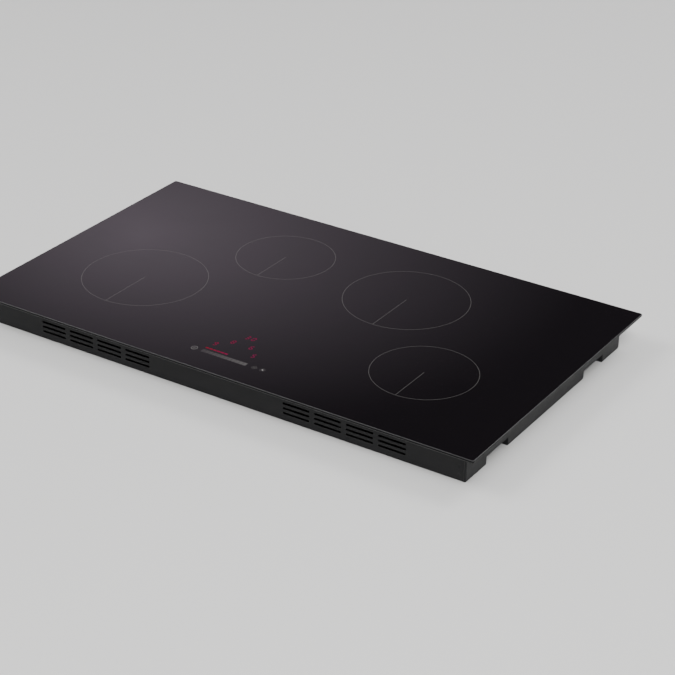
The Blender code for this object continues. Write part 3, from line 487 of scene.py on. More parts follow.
def slab_mesh(outline, bottom, top):
    """A closed plate with this outline."""
    bm = bmesh.new()
    low = [bm.verts.new((x, y, bottom)) for x, y in outline]
    high = [bm.verts.new((x, y, top)) for x, y in outline]
    bm.faces.new(low[::-1])
    bm.faces.new(high)
    for i in range(len(outline)):
        after = (i + 1) % len(outline)
        bm.faces.new((low[i], low[after], high[after], high[i]))
    return finish_mesh(bm)


def ring_mesh(centre, inner, outer, bottom, top, start=0.0, end=360.0, steps=192):
    """A flat ring, or a stretch of one between two angles."""
    whole = abs(end - start) >= 360
    count = steps if whole else steps + 1
    circles = [arc(centre, radius, start, end, steps)[:count] for radius in (inner, outer)]
    bm = bmesh.new()
    stations = []
    for near, far in zip(*circles):
        corners = ((*near, bottom), (*far, bottom), (*far, top), (*near, top))
        stations.append([bm.verts.new(corner) for corner in corners])
    for i in range(steps):
        near, far = stations[i], stations[(i + 1) % count]
        for j in range(4):
            k = (j + 1) % 4
            bm.faces.new((near[j], near[k], far[k], far[j]))
    if not whole:
        bm.faces.new(stations[0][::-1])
        bm.faces.new(stations[-1])
    return finish_mesh(bm)


def finish_mesh(bm):
    """The mesh, with its faces turned outward and its round stretches shaded smooth."""
    bmesh.ops.recalc_face_normals(bm, faces=bm.faces)
    mesh = bpy.data.meshes.new("mesh")
    bm.to_mesh(mesh)
    bm.free()
    mesh.shade_smooth()
    mesh.set_sharp_from_angle(angle=SHARP_ANGLE)
    return mesh


def box_mesh(low, high, radius=0.0, edges="all", segments=3):
    """A box with rounded edges: all of them, the upright ones, or the upright and the lowest ones."""
    bm = bmesh.new()
    size, centre = Vector(high) - Vector(low), (Vector(high) + Vector(low)) / 2
    bmesh.ops.create_cube(bm, size=1, matrix=shifted(*centre) @ Matrix.Diagonal((*size, 1)))
    if radius:
        upright = [e for e in bm.edges if abs(e.verts[0].co.z - e.verts[1].co.z) > size.z / 2]
        lowest = [e for e in bm.edges if all(abs(v.co.z - low[2]) < 1e-6 for v in e.verts)]
        chosen = {"all": list(bm.edges), "upright": upright, "tray": upright + lowest}[edges]
        bmesh.ops.bevel(bm, geom=chosen, offset=radius, segments=segments, profile=0.5, affect="EDGES")
    return finish_mesh(bm)


def turned_mesh(profile, steps=48, closed=False):
    """A shape turned about Z from its half section of (radius, height) points, from top to bottom."""
    bm = bmesh.new()
    turn = [math.tau * i / steps for i in range(steps)]
    rings = []
    for radius, height in profile:
        angles = turn if radius else turn[:1]
        rings.append([bm.verts.new((radius * math.cos(a), radius * math.sin(a), height)) for a in angles])
    pairs = list(zip(rings, rings[1:]))
    if closed:
        pairs.append((rings[-1], rings[0]))
    for above, below in pairs:
        for i in range(steps):
            j = (i + 1) % steps
            upper = [above[k % len(above)] for k in (i, j)]
            lower = [below[k % len(below)] for k in (j, i)]
            corners = list(dict.fromkeys(upper + lower))
            if len(corners) > 2:
                bm.faces.new(corners)
    return finish_mesh(bm)


def merged(meshes):
    """One mesh of several, each of which may be given as (mesh, matrix)."""
    bm = bmesh.new()
    for item in meshes:
        mesh, place = item if isinstance(item, tuple) else (item, Matrix.Identity(4))
        known = len(bm.verts)
        bm.from_mesh(mesh)
        bm.verts.ensure_lookup_table()
        bmesh.ops.transform(bm, matrix=place, verts=bm.verts[known:])
    return finish_mesh(bm)


def shifted(x, y, z):
    """A move by this much along each axis."""
    return Matrix.Translation((x, y, z))


def spun(angle, axis="Z"):
    """A turn about an axis by this many degrees."""
    return Matrix.Rotation(math.radians(angle), 4, axis)


def facing(direction):
    """A turn that takes +Z to this direction."""
    return Vector((0, 0, 1)).rotation_difference(Vector(direction)).to_matrix().to_4x4()


def rod_mesh(start, end, radius, steps=32):
    """A round rod from start to end."""
    along = Vector(end) - Vector(start)
    length = along.length
    mesh = turned_mesh([(0, length), (radius, length), (radius, 0), (0, 0)], steps)
    mesh.transform(shifted(*start) @ facing(along))
    return mesh


def cross_mesh(length, width, bottom, top, turn=0):
    """A cutter for a cross recess, from its arms' half length and half width."""
    low, high = (-length, -width, bottom), (length, width, top)
    return merged([(box_mesh(low, high), spun(turn + quarter)) for quarter in (0, 90)])


def stadium(x, y, length, height, steps=6):
    """A slot's outline, with round ends."""
    low, high = (x - length / 2, y - height / 2), (x + length / 2, y + height / 2)
    return rounded_rectangle(low, high, height / 2 - 1e-5, steps)


def new_object(name, data, collection=PIECES):
    """An object in this collection."""
    made = bpy.data.objects.new(name, data)
    collection.objects.link(made)
    return made


def carve(mesh, steps):
    """Cuts or joins shapes in turn, each given as (operation, mesh), and returns the result."""
    scratch = new_object("scratch", mesh)
    helpers = [scratch]
    for operation, shape in steps:
        helpers.append(new_object("scratch_helper", shape))
        modifier = scratch.modifiers.new("carve", "BOOLEAN")
        modifier.operation = operation
        modifier.object = helpers[-1]
        modifier.use_self = True
    graph = bpy.context.evaluated_depsgraph_get()
    result = bpy.data.meshes.new_from_object(scratch.evaluated_get(graph))
    for helper in helpers:
        bpy.data.objects.remove(helper, do_unlink=True)
    bm = bmesh.new()
    bm.from_mesh(result)
    bmesh.ops.remove_doubles(bm, verts=bm.verts, dist=MERGE_DISTANCE)
    bmesh.ops.dissolve_degenerate(bm, edges=bm.edges, dist=MERGE_DISTANCE)
    return finish_mesh(bm)


def add_piece(name, mesh, material, body=BODY, place=None):
    """A piece of the object, riding on a body."""
    piece = new_object(name, mesh)
    mesh.name = name
    if place:
        piece.matrix_world = place
    if not mesh.materials:
        mesh.materials.append(material)
    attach(piece, body)
    return piece


def round_edges(piece, width, segments=2, angle=35):
    """Rounds a piece's sharp edges a little, so that they catch the light, and keeps its flats flat."""
    modifier = piece.modifiers.new("round_edges", "BEVEL")
    modifier.width = width
    modifier.segments = segments
    modifier.limit_method = "ANGLE"
    modifier.angle_limit = math.radians(angle)
    keep_flats(piece)


def keep_flats(piece):
    """Shades each flat face by its own direction, so that a rounded edge beside it doesn't bend its light."""
    modifier = piece.modifiers.new("keep_flats", "WEIGHTED_NORMAL")
    modifier.mode = "FACE_AREA"
    modifier.keep_sharp = True
    modifier.weight = 100


# ---- The glass and what is printed on it

def add_glass(finishes):
    """The slab, with its corners rounded and its arrises ground. Its finishes come in order."""
    outline = rounded_rectangle(GLASS_LOW, GLASS_HIGH, CORNER_RADIUS)
    mesh = slab_mesh(outline, GLASS_LOW.z, PRINT_BOTTOM)
    for material in finishes:
        mesh.materials.append(material)
    for face in mesh.polygons:
        if face.normal.z < -0.5:
            face.material_index = UNDERSIDE
        elif face.normal.z < 0.5:
            face.material_index = GROUND
    slab = add_piece("glass_slab", mesh, finishes[POLISHED])
    round_edges(slab, ARRIS, segments=4)
    slab.modifiers["round_edges"].material = ARRIS_WITH_PAINTED_HIGHLIGHT
    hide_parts("glass_panel")


def add_zone_print(name, material):
    """A zone's ring, and its line from the centre to the front."""
    low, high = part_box(f"mica_disc_{name}")
    centre = (low + high) / 2
    radius = (high.x - low.x) / 2 + RING_BEYOND_MICA
    half = LINE_WIDTH / 2
    ring = ring_mesh(centre, radius - half, radius + half, PRINT_BOTTOM, PRINT_TOP)
    start, end = (centre.x - half, centre.y - radius + half), (centre.x + half, centre.y)
    line = box_mesh((*start, PRINT_BOTTOM), (*end, PRINT_TOP))
    add_piece(f"zone_print_{name}", merged([ring, line]), material)


def sign_mesh(outlines):
    """Flat shapes printed on the glass."""
    return merged([slab_mesh(outline, PRINT_BOTTOM, PRINT_TOP) for outline in outlines])


def bar_row(x_span, y, height, count, gap, radius):
    """A row of equal bars with round corners."""
    pitch = (x_span[1] - x_span[0] + gap) / count
    bars = []
    for i in range(count):
        left = x_span[0] + i * pitch
        low, high = (left, y - height / 2), (left + pitch - gap, y + height / 2)
        bars.append(rounded_rectangle(low, high, radius, steps=3))
    return bars


def digit_bars(number, x, y):
    """The lit bars of a seven-bar digit, as outlines that lean to the right."""
    half, half_height = DIGIT_STROKE / 2, DIGIT_HEIGHT / 2
    side, quarter = DIGIT_WIDTH / 2 - half, (half_height - half) / 2
    top, bottom = (0, half_height - half), (0, half - half_height)
    upper, lower = [(-side, quarter), (side, quarter)], [(-side, -quarter), (side, -quarter)]
    outlines = []
    for index, place in enumerate((top, *upper, (0, 0), *lower, bottom)):
        if LIT_BARS[number][index] == "0":
            continue
        # Each bar has pointed ends, and stops a little short of its neighbours.
        length = side if index in LYING_BARS else quarter
        reach, body = length - half * 0.35, length - half * 1.35
        bar = [(-reach, 0), (-body, -half), (body, -half), (reach, 0), (body, half), (-body, half)]
        if index not in LYING_BARS:
            bar = [(-b, a) for a, b in bar]
        outline = [(place[0] + a, place[1] + b) for a, b in bar]
        outlines.append([(x + a + b * DIGIT_SLANT, y + b) for a, b in outline])
    return outlines


def add_slider(slider_with_painted_glow, red, deep_red):
    """The slider, the level bar and the digits."""
    bars = bar_row(SLIDER_X, SLIDER_Y, SLIDER_HEIGHT, SLIDER_STEPS, 0.0005, 0.0006)
    add_piece("slider_print", sign_mesh(bars), slider_with_painted_glow)
    bars = bar_row(LEVEL_X, LEVEL_Y, LEVEL_HEIGHT, LEVEL_STEPS, 0.0010, 0.0004)
    add_piece("level_light", sign_mesh(bars), red)
    for name, (number, x, y) in DIGITS.items():
        digit = sign_mesh(digit_bars(number, x, y))
        add_piece(f"digit_light_{name}", digit, deep_red)


def add_keys(prints):
    """The power, pause and lock keys, each a generic mark in a circle."""
    levels = (PRINT_BOTTOM, PRINT_TOP)
    x, y = POWER_KEY
    circle = ring_mesh(POWER_KEY, *POWER_CIRCLE, *levels, steps=64)
    bow = ring_mesh(POWER_KEY, *POWER_BOW, *levels, *POWER_BOW_ENDS, steps=40)
    low, high = [(x + side * STEM_WIDTH / 2, y + end) for side, end in zip((-1, 1), POWER_STEM)]
    stem = box_mesh((*low, PRINT_BOTTOM), (*high, PRINT_TOP))
    add_piece("power_key_print", merged([circle, bow, stem]), prints["clear"])

    x, y = PAUSE_KEY
    half_width, half_height = PAUSE_BAR
    pause = [ring_mesh(PAUSE_KEY, *KEY_CIRCLE, *levels, steps=48)]
    for middle in (x - PAUSE_SPACING, x + PAUSE_SPACING):
        low, high = (middle - half_width, y - half_height), (middle + half_width, y + half_height)
        pause.append(box_mesh((*low, PRINT_BOTTOM), (*high, PRINT_TOP)))
    add_piece("pause_key_print", merged(pause), prints["middle"])

    circle = ring_mesh(LOCK_KEY, *KEY_CIRCLE, *levels, steps=48)
    add_piece("lock_key_print", circle, prints["middle"])
    # The lock key's lit dot: its glow is painted as a bright print colour, not emitted.
    dot = slab_mesh(arc(LOCK_KEY, LOCK_DOT, 0, 345, 23), *levels)
    add_piece("lock_key_light", dot, prints["bright"])


# ---- The casing

def casing_slots():
    """Cutters for the air slots."""
    cutters = []
    upright = shifted(0, -CASING_Y, 0) @ spun(90, "X")
    for side in (-1, 1):
        for i in range(INTAKE_COUNT):
            offset = (i - (INTAKE_COUNT - 1) / 2) * INTAKE_PITCH
            length = 2 * math.sqrt(INTAKE_RADIUS**2 - offset**2)
            outline = stadium(side * FAN_X, FAN_Y + offset, length, INTAKE_SLOT)
            cutters.append(slab_mesh(outline, -SLOT_CUT, SLOT_CUT))
        for column in range(EXHAUST_COLUMNS):
            x = side * FAN_X + (column - (EXHAUST_COLUMNS - 1) / 2) * (EXHAUST_LENGTH + EXHAUST_GAP)
            for row in range(EXHAUST_ROWS):
                outline = stadium(x, EXHAUST_Z + row * EXHAUST_PITCH, EXHAUST_LENGTH, EXHAUST_HEIGHT)
                cutters.append((slab_mesh(outline, -SLOT_CUT, SLOT_CUT), upright))
    return merged(cutters)


def pocket_boxes(wall):
    """The four clamp pockets, grown by a wall thickness, open downwards and to the side."""
    boxes = []
    half = POCKET_LENGTH / 2 + wall
    for side, end in QUARTERS:
        left, right = sorted((side * (CASING_X - POCKET_DEPTH - wall), side * (CASING_X + WALL_CUT)))
        low = (left, end * POCKET_Y - half, -WALL_CUT)
        high = (right, end * POCKET_Y + half, POCKET_HEIGHT + wall)
        boxes.append(box_mesh(low, high, OPENING_ROUNDING + wall))
    return merged(boxes)


def hinge_ears():
    """A rounded ear at each end of the terminal cover, with its pin."""
    root = CASING_Y - SHEET / 2
    outline = arc((HINGE_Y, HINGE_Z), EAR_RADIUS, -90, 90, 12)
    outline += [(root, HINGE_Z + EAR_ROOT), (root, HINGE_Z - EAR_ROOT)]
    shapes = []
    for edge, outward in zip(COVER_X, (-1, 1)):
        # The outline's X and Y stand for Y and Z, and its thickness for X.
        turn = Matrix(((0, 0, outward, edge), (1, 0, 0, 0), (0, 1, 0, 0), (0, 0, 0, 1)))
        shapes.append((slab_mesh(outline, *EAR_SPAN), turn))
        pin = [(edge + outward * reach, HINGE_Y, HINGE_Z) for reach in (-0.004, 0.0036)]
        shapes.append(rod_mesh(*pin, HINGE_PIN_RADIUS, 20))
    return merged(shapes)


def casing_marks():
    """Cutters for the pressed and welded marks."""
    cutters = []
    for y in LONG_BEADS_Y:
        cutters.append(slab_mesh(stadium(0, y, LONG_BEAD, BEAD_WIDTH, 8), -0.002, BEAD_DEPTH))
    for x in SHORT_BEADS_X:
        outline = [(b, a) for a, b in stadium(SHORT_BEADS_Y, x, SHORT_BEAD, BEAD_WIDTH, 8)]
        cutters.append(slab_mesh(outline[::-1], -0.002, BEAD_DEPTH))
    for side, end in QUARTERS:
        x, y = side * (CASING_X - SEAM_INSET), end * CASING_Y
        near, far = sorted((y - end * SEAM_DEPTH, y + end * 0.002))
        low, high = (x - SEAM_WIDTH / 2, near, -0.001), (x + SEAM_WIDTH / 2, far, CASING_TOP + 0.001)
        cutters.append(box_mesh(low, high))
        for height in WELD_HEIGHTS:
            dimple = bmesh.new()
            matrix = shifted(x - side * WELD_INSET, y, height) @ Matrix.Diagonal((*WELD_SIZE, 1))
            bmesh.ops.create_uvsphere(dimple, u_segments=20, v_segments=10, radius=1, matrix=matrix)
            cutters.append(finish_mesh(dimple))
    return merged(cutters)


def wall_holes():
    """Cutters for the terminal window, the gland's hole and the clamp screws' holes."""
    inside, outside = CASING_Y - WALL_CUT, CASING_Y + WALL_CUT
    low, high = zip(WINDOW_X, (inside, outside), WINDOW_Z)
    holes = [box_mesh(low, high, OPENING_ROUNDING)]
    holes.append(rod_mesh((GLAND_X, inside, GLAND_Z), (GLAND_X, outside, GLAND_Z), GLAND_HOLE))
    for side, end in QUARTERS:
        x, y = side * CLAMP_X, end * CLAMP_Y
        bottom, top = POCKET_HEIGHT - 0.002, POCKET_HEIGHT + 0.004
        holes.append(rod_mesh((x, y, bottom), (x, y, top), CLAMP_HOLE_RADIUS))
    return merged(holes)


def add_casing(coat):
    """The folded tray, cut and joined from rounded shapes."""
    wide, deep = CASING_X - SHEET, CASING_Y - SHEET
    low, high = (-CASING_X, -CASING_Y, 0), (CASING_X, CASING_Y, CASING_TOP)
    outer = box_mesh(low, high, BEND, "tray", 4)
    low, high = (-wide, -deep, SHEET), (wide, deep, CASING_TOP + 0.005)
    cavity = box_mesh(low, high, BEND - SHEET, "tray", 4)
    cavity = carve(cavity, [(CUT, pocket_boxes(SHEET))])
    mesh = carve(outer, [
        (CUT, cavity),
        (CUT, pocket_boxes(0)),
        (CUT, casing_slots()),
        (CUT, wall_holes()),
        (CUT, casing_marks()),
        (JOIN, hinge_ears()),
    ])
    tray = add_piece("casing_tray", mesh, coat)
    round_edges(tray, 0.00018, segments=1, angle=50)
    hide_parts("bottom_casing")


def add_type_plate(material):
    """A blank plate on the rear wall: a raised border, and a rivet in each corner."""
    def inset_slab(inset, radius, bottom, top):
        low, high = [c + inset for c in PLATE_LOW], [c - inset for c in PLATE_HIGH]
        return slab_mesh(rounded_rectangle(low, high, radius), bottom, top)

    plate = inset_slab(0, 0.0018, 0, PLATE_SHEET)
    hole = inset_slab(0.0027, 0.0008, -0.001, 0.001)
    border = carve(inset_slab(0.0022, 0.0012, 0.0001, 0.0006), [(CUT, hole)])
    dome = [(0, 0.0009), (0.0006, 0.00085), (0.0011, 0.0006), (0.0013, PLATE_SHEET), (0.0013, 0), (0, 0)]
    rivets = []
    for x in (PLATE_LOW[0] + 0.0050, PLATE_HIGH[0] - 0.0050):
        for y in (PLATE_LOW[1] + 0.0048, PLATE_HIGH[1] - 0.0048):
            rivets.append((turned_mesh(dome, 20), shifted(x, y, 0)))
    mesh = carve(plate, [(JOIN, border), (JOIN, merged(rivets))])
    mesh.transform(Matrix.Diagonal((1, -1, 1, 1)))
    mesh.flip_normals()
    stand = shifted(0, CASING_Y, 0) @ spun(-90, "X")
    add_piece("type_plate", mesh, material, place=stand)


def screw_head_mesh(radius, height):
    """A domed head with a cross recess. It sits on Z = 0 and faces +Z."""
    dome = [(0, height)]
    for angle in (0.35, 0.7, 1.05, 1.35):
        dome.append((radius * math.sin(angle) * 0.98, height * (0.45 + 0.55 * math.cos(angle))))
    dome += [(radius, height * 0.35), (radius, 0), (0, 0)]
    cross = cross_mesh(radius * 0.55, radius * 0.11, height * 0.35, height * 1.2)
    return carve(turned_mesh(dome, 32), [(CUT, cross)])


def add_casing_screws(material):
    """The screws that hold the casing to the rails, near the top of each wall."""
    mesh = screw_head_mesh(SCREW_RADIUS, SCREW_HEIGHT)
    places = [((x, end * CASING_Y, SCREW_LEVEL), (0, end, 0)) for x in SCREWS_X for end in (-1, 1)]
    places += [((side * CASING_X, y, SCREW_LEVEL), (side, 0, 0)) for y in SCREWS_Y for side in (-1, 1)]
    for i, (place, outward) in enumerate(places):
        # No two screws stop at the same angle.
        screw = shifted(*place) @ facing(outward) @ spun(37 * i)
        add_piece(f"casing_screw_{i + 1:02d}", mesh, material, place=screw)


# ---- The mains connection

def add_gland(material):
    """The cable gland: a hexagonal nut outside, a domed grip with its bore, and a locknut inside."""
    bore, body, flange, outer = GLAND_BORE, GLAND_HOLE - 0.0003, 0.0100, 0.0090
    shoulder, top, lip_radius = 0.0046, 0.0120, 0.0007
    profile = []
    for angle in (math.pi / 2, 0.8, 0.3):
        in_by, down_by = lip_radius * (1 - math.sin(angle)), lip_radius * (1 - math.cos(angle))
        profile.append((bore + in_by, top - down_by))
    profile += [(0.0074, top), (0.0088, 0.0112), (outer, 0.0098), (outer, shoulder), (flange, shoulder)]
    profile += [(flange, 0.0009), (body, 0.0009), (body, -0.0045), (bore, -0.0045)]
    barrel = turned_mesh(profile, 60, closed=True)

    nuts = []
    hexagon = arc((0, 0), 0.0120, 0, 300, 5)
    for bottom, high, hole in ((0.0003, 0.0052, 0.0095), (-0.0037, -0.0013, body - 0.0002)):
        cutter = rod_mesh((0, 0, -0.01), (0, 0, 0.02), hole)
        nuts.append((JOIN, carve(slab_mesh(hexagon, bottom, high), [(CUT, cutter)])))
    stand = shifted(GLAND_X, CASING_Y, GLAND_Z) @ spun(-90, "X")
    gland = add_piece("gland", carve(barrel, nuts), material, place=stand)
    round_edges(gland, 0.0002)
    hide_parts("cable_gland")


def add_terminal_cover(material):
    """The lid on its hinge barrel, with a raised rim, ribs and a snap tab."""
    low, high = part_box("terminal_cover")
    face, back = HINGE_Y - 0.0019, HINGE_Y + 0.0001
    left, right = low.x + 0.0008, high.x - 0.0008
    middle = (left + right) / 2

    def block(x_span, y_span, z_span, radius=0.0):
        start, end = zip(x_span, y_span, z_span)
        return box_mesh(start, end, radius)

    plate = block((left, right), (face, back), (low.z, HINGE_Z), 0.0006)
    span = (low.z + 0.0035, HINGE_Z - 0.006)
    rim = block((left + 0.003, right - 0.003), (back - 0.0005, back + 0.0006), span, 0.0004)
    span = (low.z + 0.005, HINGE_Z - 0.0075)
    rim_inside = block((left + 0.0045, right - 0.0045), (back, back + 0.002), span)
    ribs, rib_count = [], 5
    for i in range(rib_count):
        x = left + (right - left) * (i + 1) / (rib_count + 1)
        span = (low.z + 0.004, HINGE_Z - 0.0065)
        ribs.append(block((x - 0.0005, x + 0.0005), (back - 0.0004, back + 0.0005), span, 0.0002))
    span = (low.z + 0.0005, low.z + 0.0032)
    tab = block((middle - 0.008, middle + 0.008), (back - 0.0010, high.y - 0.0010), span, 0.0005)
    grips, grip_count = [tab], 6
    for i in range(grip_count):
        x = middle - 0.0060 + 0.0024 * i
        span = (low.z + 0.0008, low.z + 0.0030)
        grips.append(block((x - 0.0004, x + 0.0004), (back, high.y), span, 0.00025))
    bores = []
    for end, inward in ((low.x, 1), (high.x, -1)):
        bore = [(end + inward * reach, HINGE_Y, HINGE_Z) for reach in (-0.003, 0.006)]
        bores.append(rod_mesh(*bore, HINGE_BORE_RADIUS, 24))
    mesh = carve(rod_mesh((low.x, HINGE_Y, HINGE_Z), (high.x, HINGE_Y, HINGE_Z), HINGE_RADIUS), [
        (JOIN, plate),
        (JOIN, carve(rim, [(CUT, rim_inside)])),
        (JOIN, merged(ribs)),
        (JOIN, merged(grips)),
        (CUT, merged(bores)),
    ])
    lid = add_piece("terminal_lid_cover", mesh, material, body="terminal_lid")
    keep_flats(lid)
    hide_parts("terminal_cover")


def add_terminal_block(plastic, zinc):
    """Six ways behind the window, each with an entry and a cross-head screw in its well."""
    low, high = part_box("terminal_block")
    ways, screw_y, screw_z = 6, 0.2105, 0.018
    pitch = (high.x - low.x) / ways
    head = screw_head_mesh(0.0026, 0.0016)
    cutters, screws = [], []
    for i in range(ways):
        x = low.x + pitch * (i + 0.5)
        start, end = (x - 0.0035, 0.216, 0.0135), (x + 0.0035, 0.23, 0.0205)
        cutters.append(box_mesh(start, end, 0.0006, segments=2))
        cutters.append(rod_mesh((x, screw_y, screw_z), (x, screw_y, 0.03), 0.003))
        screws.append((head, shifted(x, screw_y, screw_z + 0.0002)))
        if i:
            edge = low.x + pitch * i
            start = (edge - 0.0005, low.y - 0.001, high.z - 0.004)
            cutters.append(box_mesh(start, (edge + 0.0005, high.y + 0.001, high.z + 0.001)))
    mesh = carve(box_mesh(low, high, 0.0006), [(CUT, merged(cutters))])
    block = add_piece("terminal_ways", mesh, plastic)
    keep_flats(block)
    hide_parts("terminal_block")
    add_piece("terminal_screws", merged(screws), zinc)


# ---- The worktop clamps

def add_clamps(strap_material, screw_material):
    """Each clamp's pressed strap, and the screw that it turns on."""
    strap = clamp_strap_mesh()
    screw = clamp_screw_mesh()
    for side, end in QUARTERS:
        name = f"{'front' if end < 0 else 'rear'}_{'left' if side < 0 else 'right'}"
        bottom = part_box(f"worktop_clamp_{name}")[0].z
        place = shifted(side * CLAMP_X, end * CLAMP_Y, bottom) @ spun(90 * end)
        body = f"clamp_{name}"
        piece = add_piece(f"clamp_strap_{name}", strap, strap_material, body, place)
        keep_flats(piece)
        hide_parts(f"worktop_clamp_{name}")
        stand = shifted(side * CLAMP_X, end * CLAMP_Y, 0)
        piece = add_piece(f"clamp_bolt_{name}", screw, screw_material, f"screw_{name}", stand)
        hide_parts(f"clamp_screw_{name}")


def clamp_strap_mesh():
    """A strap along +X from its pivot, with a stiffening bead and a turned-up, toothed end."""
    reach, half, sheet = 0.034, 0.009, 0.002
    bead_x = reach / 2 + 0.003
    outline = arc((0, 0), half, 90, 270, 16) + arc((reach, 0), half, -90, 90, 16)
    bead = slab_mesh(stadium(bead_x, 0, 0.022, 0.0045), -0.001, 0.0005)
    ridge = slab_mesh(stadium(bead_x, 0, 0.020, 0.0030), sheet - 0.0005, sheet + 0.0005)
    lip = box_mesh((reach + 0.001, -0.006, sheet / 4), (reach + 0.005, 0.006, sheet + 0.0018), 0.0005)
    teeth = []
    for y in (-0.0045, -0.0015, 0.0015, 0.0045):
        tooth = slab_mesh([(-0.0013, 0), (0.0013, 0), (0, 0.0015)], 0, 0.004)
        turn = Matrix(((0, 0, 1, reach + 0.001), (1, 0, 0, y), (0, 1, 0, sheet + 0.0015), (0, 0, 0, 1)))
        teeth.append((tooth, turn))
    return carve(slab_mesh(outline, 0, sheet), [
        (CUT, bead),
        (JOIN, ridge),
        (JOIN, lip),
        (JOIN, merged(teeth)),
        (CUT, rod_mesh((0, 0, -0.01), (0, 0, 0.01), CLAMP_HOLE_RADIUS)),
    ])


def clamp_screw_mesh():
    """A cross-head screw, head down, with its threads."""
    top, neck, head, foot = 0.026, 0.0027, 0.0045, 0.0004
    root, crest, pitch, thread_end = 0.00215, 0.0025, 0.0008, 0.0065
    profile = [(0, top), (root, top)]
    height = top - pitch / 2
    while height > thread_end:
        profile += [(crest, height), (root, height - pitch / 2)]
        height -= pitch
    profile += [(crest, 0.0060), (crest, neck + 0.0003), (head, neck), (head, 0.0012)]
    profile += [(head * 0.86, foot), (0, foot)]
    cross = cross_mesh(head * 0.5, head * 0.1, -0.001, foot + 0.0011, 20)
    return carve(turned_mesh(profile, 28), [(CUT, cross)])


# ---- Materials for the CAD nodes that stay

def dress(name, material):
    """Gives a CAD node its material."""
    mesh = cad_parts[name].data
    mesh.materials.clear()
    mesh.materials.append(material)
    return mesh


def dress_nodes(materials):
    """Gives every CAD node that stays its material, by the start of its name."""
    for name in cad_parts:
        for start, material in materials.items():
            if name.startswith(start):
                mesh = dress(name, material)
                mesh.shade_smooth()
                mesh.set_sharp_from_angle(angle=CAD_SHARP_ANGLE)


def dress_windings():
    """Each winding's turns run round its own centre."""
    for zone in ZONES:
        low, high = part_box(f"mica_disc_{zone}")
        dress(f"coil_winding_{zone}", copper_material(f"litz_{zone}", (low + high) / 2, WINDING_PITCH))
    low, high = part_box("mains_choke")
    dress("mains_choke", copper_material("choke_wire", (low + high) / 2, CHOKE_PITCH))


# ---- Floor, light and camera

def add_floor():
    """A pale floor, and round it a low wall on a wide cove. The wall isn't mirrored in the glass."""
    cove = arc((WALL_RADIUS - COVE_RADIUS, COVE_RADIUS), COVE_RADIUS, 0, -90, 12)
    profiles = {
        "floor": [(WALL_RADIUS - COVE_RADIUS, 0), (0, 0)],
        "backdrop": [(WALL_RADIUS, WALL_HEIGHT), *cove],
    }
    material = new_material("pale_floor", FLOOR_COLOR, FLOOR_ROUGHNESS)
    for name, profile in profiles.items():
        sheet = new_object(name, turned_mesh(profile, 96), STAGE)
        sheet.data.materials.append(material)
        sheet.data.shade_smooth()
        sheet.visible_glossy = name == "floor"


def add_card(name, centre, half_size, tilt, strength):
    """A soft light card, facing the cooktop, which the glass mirrors. It fades out from its centre."""
    bm = bmesh.new()
    bmesh.ops.create_grid(bm, x_segments=1, y_segments=1, size=1)
    card = new_object(name, finish_mesh(bm), STAGE)
    turn = spun(90, "X") @ Matrix.Rotation(tilt, 4, "Z")
    card.matrix_world = shifted(*centre) @ turn @ Matrix.Diagonal((*half_size, 1, 1))
    material = bpy.data.materials.new(name)
    material.use_nodes = True
    material.node_tree.nodes.clear()
    away = add_node(material, "VectorMath", {0: place_of(material)}, operation="LENGTH").outputs["Value"]
    fade = compute(material, "POWER", spread(material, away, 0, 1, 1, 0), CARD_FADE)
    scaled = compute(material, "MULTIPLY", fade, strength)
    glow = add_node(material, "Emission", {"Color": (*CARD_TINT, 1), "Strength": scaled})
    clear = add_node(material, "BsdfTransparent")
    both = add_node(material, "AddShader", {0: glow.outputs[0], 1: clear.outputs[0]})
    add_node(material, "OutputMaterial", {"Surface": both.outputs[0]}).is_active_output = True
    card.data.materials.append(material)
    card.visible_camera = False
    card.visible_shadow = False


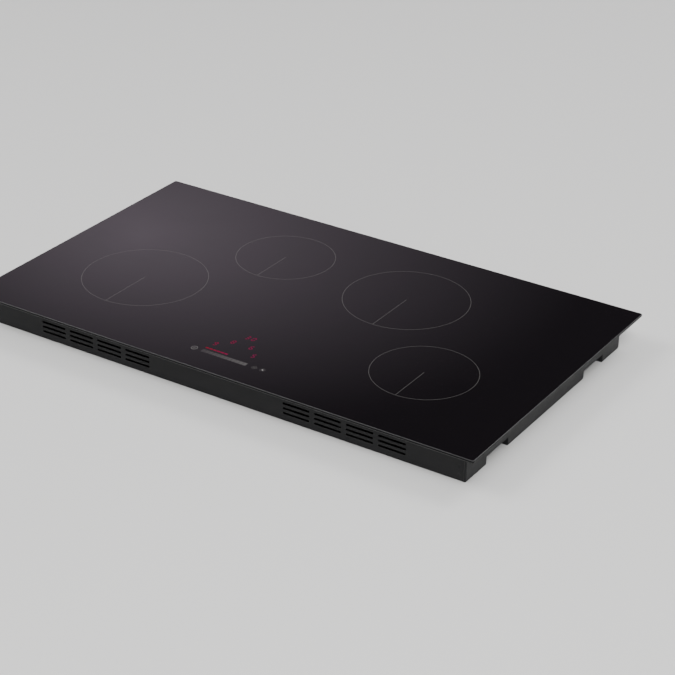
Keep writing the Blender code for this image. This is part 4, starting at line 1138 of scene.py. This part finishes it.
def add_lights():
    """Soft boxes, over and round the cooktop, and a dim room."""
    for name, (place, size, power) in SOFTBOXES.items():
        light = bpy.data.lights.new(name, "AREA")
        light.shape = "SQUARE"
        light.size = size
        light.energy = power
        holder = new_object(name, light, STAGE)
        holder.location = place
        holder.rotation_euler = (-Vector(place)).to_track_quat("-Z", "Y").to_euler()
    world = bpy.data.worlds.new("studio")
    world.use_nodes = True
    world.node_tree.nodes["Background"].inputs["Color"].default_value = (*WORLD_LIGHT, 1)
    bpy.context.scene.world = world


def add_camera():
    """A long lens over the front right, as someone standing there sees the cooktop."""
    camera = new_object("camera", bpy.data.cameras.new("camera"), STAGE)
    camera.data.lens = CAMERA_LENS
    camera.data.sensor_width = 36
    camera.data.clip_end = 100
    camera.location = CAMERA_PLACE
    camera.rotation_mode = "QUATERNION"
    level = CAMERA_DIRECTION.to_track_quat("-Z", "Y")
    camera.rotation_quaternion = level @ Quaternion((0, 0, 1), CAMERA_ROLL)
    bpy.context.scene.camera = camera


def main():
    """The whole scene."""
    prints = {name: print_material(f"{name}_print", tone) for name, tone in PRINT_TONES.items()}
    plastic = plastic_material()
    zinc = zinc_material()
    galvanised = galvanised_material()
    aluminium = aluminium_material()

    add_glass([glass_material(), glass_edge_material(), glass_underside_material(), glass_arris_painted_highlight_material()])
    for zone in ZONES:
        add_zone_print(zone, prints["grey"])
    red = light_material("red_light", LEVEL_X, *LEVEL_LIGHT)
    deep_red = light_material("deep_red_light", SLIDER_X, *DIGIT_LIGHT)
    add_slider(painted_glow_slider_material(), red, deep_red)
    add_keys(prints)
    add_casing(coated_steel_material())
    add_type_plate(aluminium)
    add_casing_screws(zinc)
    add_gland(plastic)
    add_terminal_cover(plastic)
    add_terminal_block(plastic, zinc)
    add_clamps(galvanised, zinc)

    dress_nodes({
        "worktop_seal": foam_material(),
        "rail": galvanised,
        "mica_disc": mica_material(),
        "ribbon_cable": ribbon_material(),
        **dict.fromkeys(("coil_plate", "heat_sink"), aluminium),
        **dict.fromkeys(("power_board", "filter_board", "touch_board"), board_material()),
        **dict.fromkeys(PLASTIC_NODES, plastic),
        **{node: speckled_material(*values) for node, values in SPECKLED.items()},
    })
    dress_windings()
    add_floor()
    for name, values in CARDS.items():
        add_card(name, *values)
    add_lights()
    add_camera()


main()
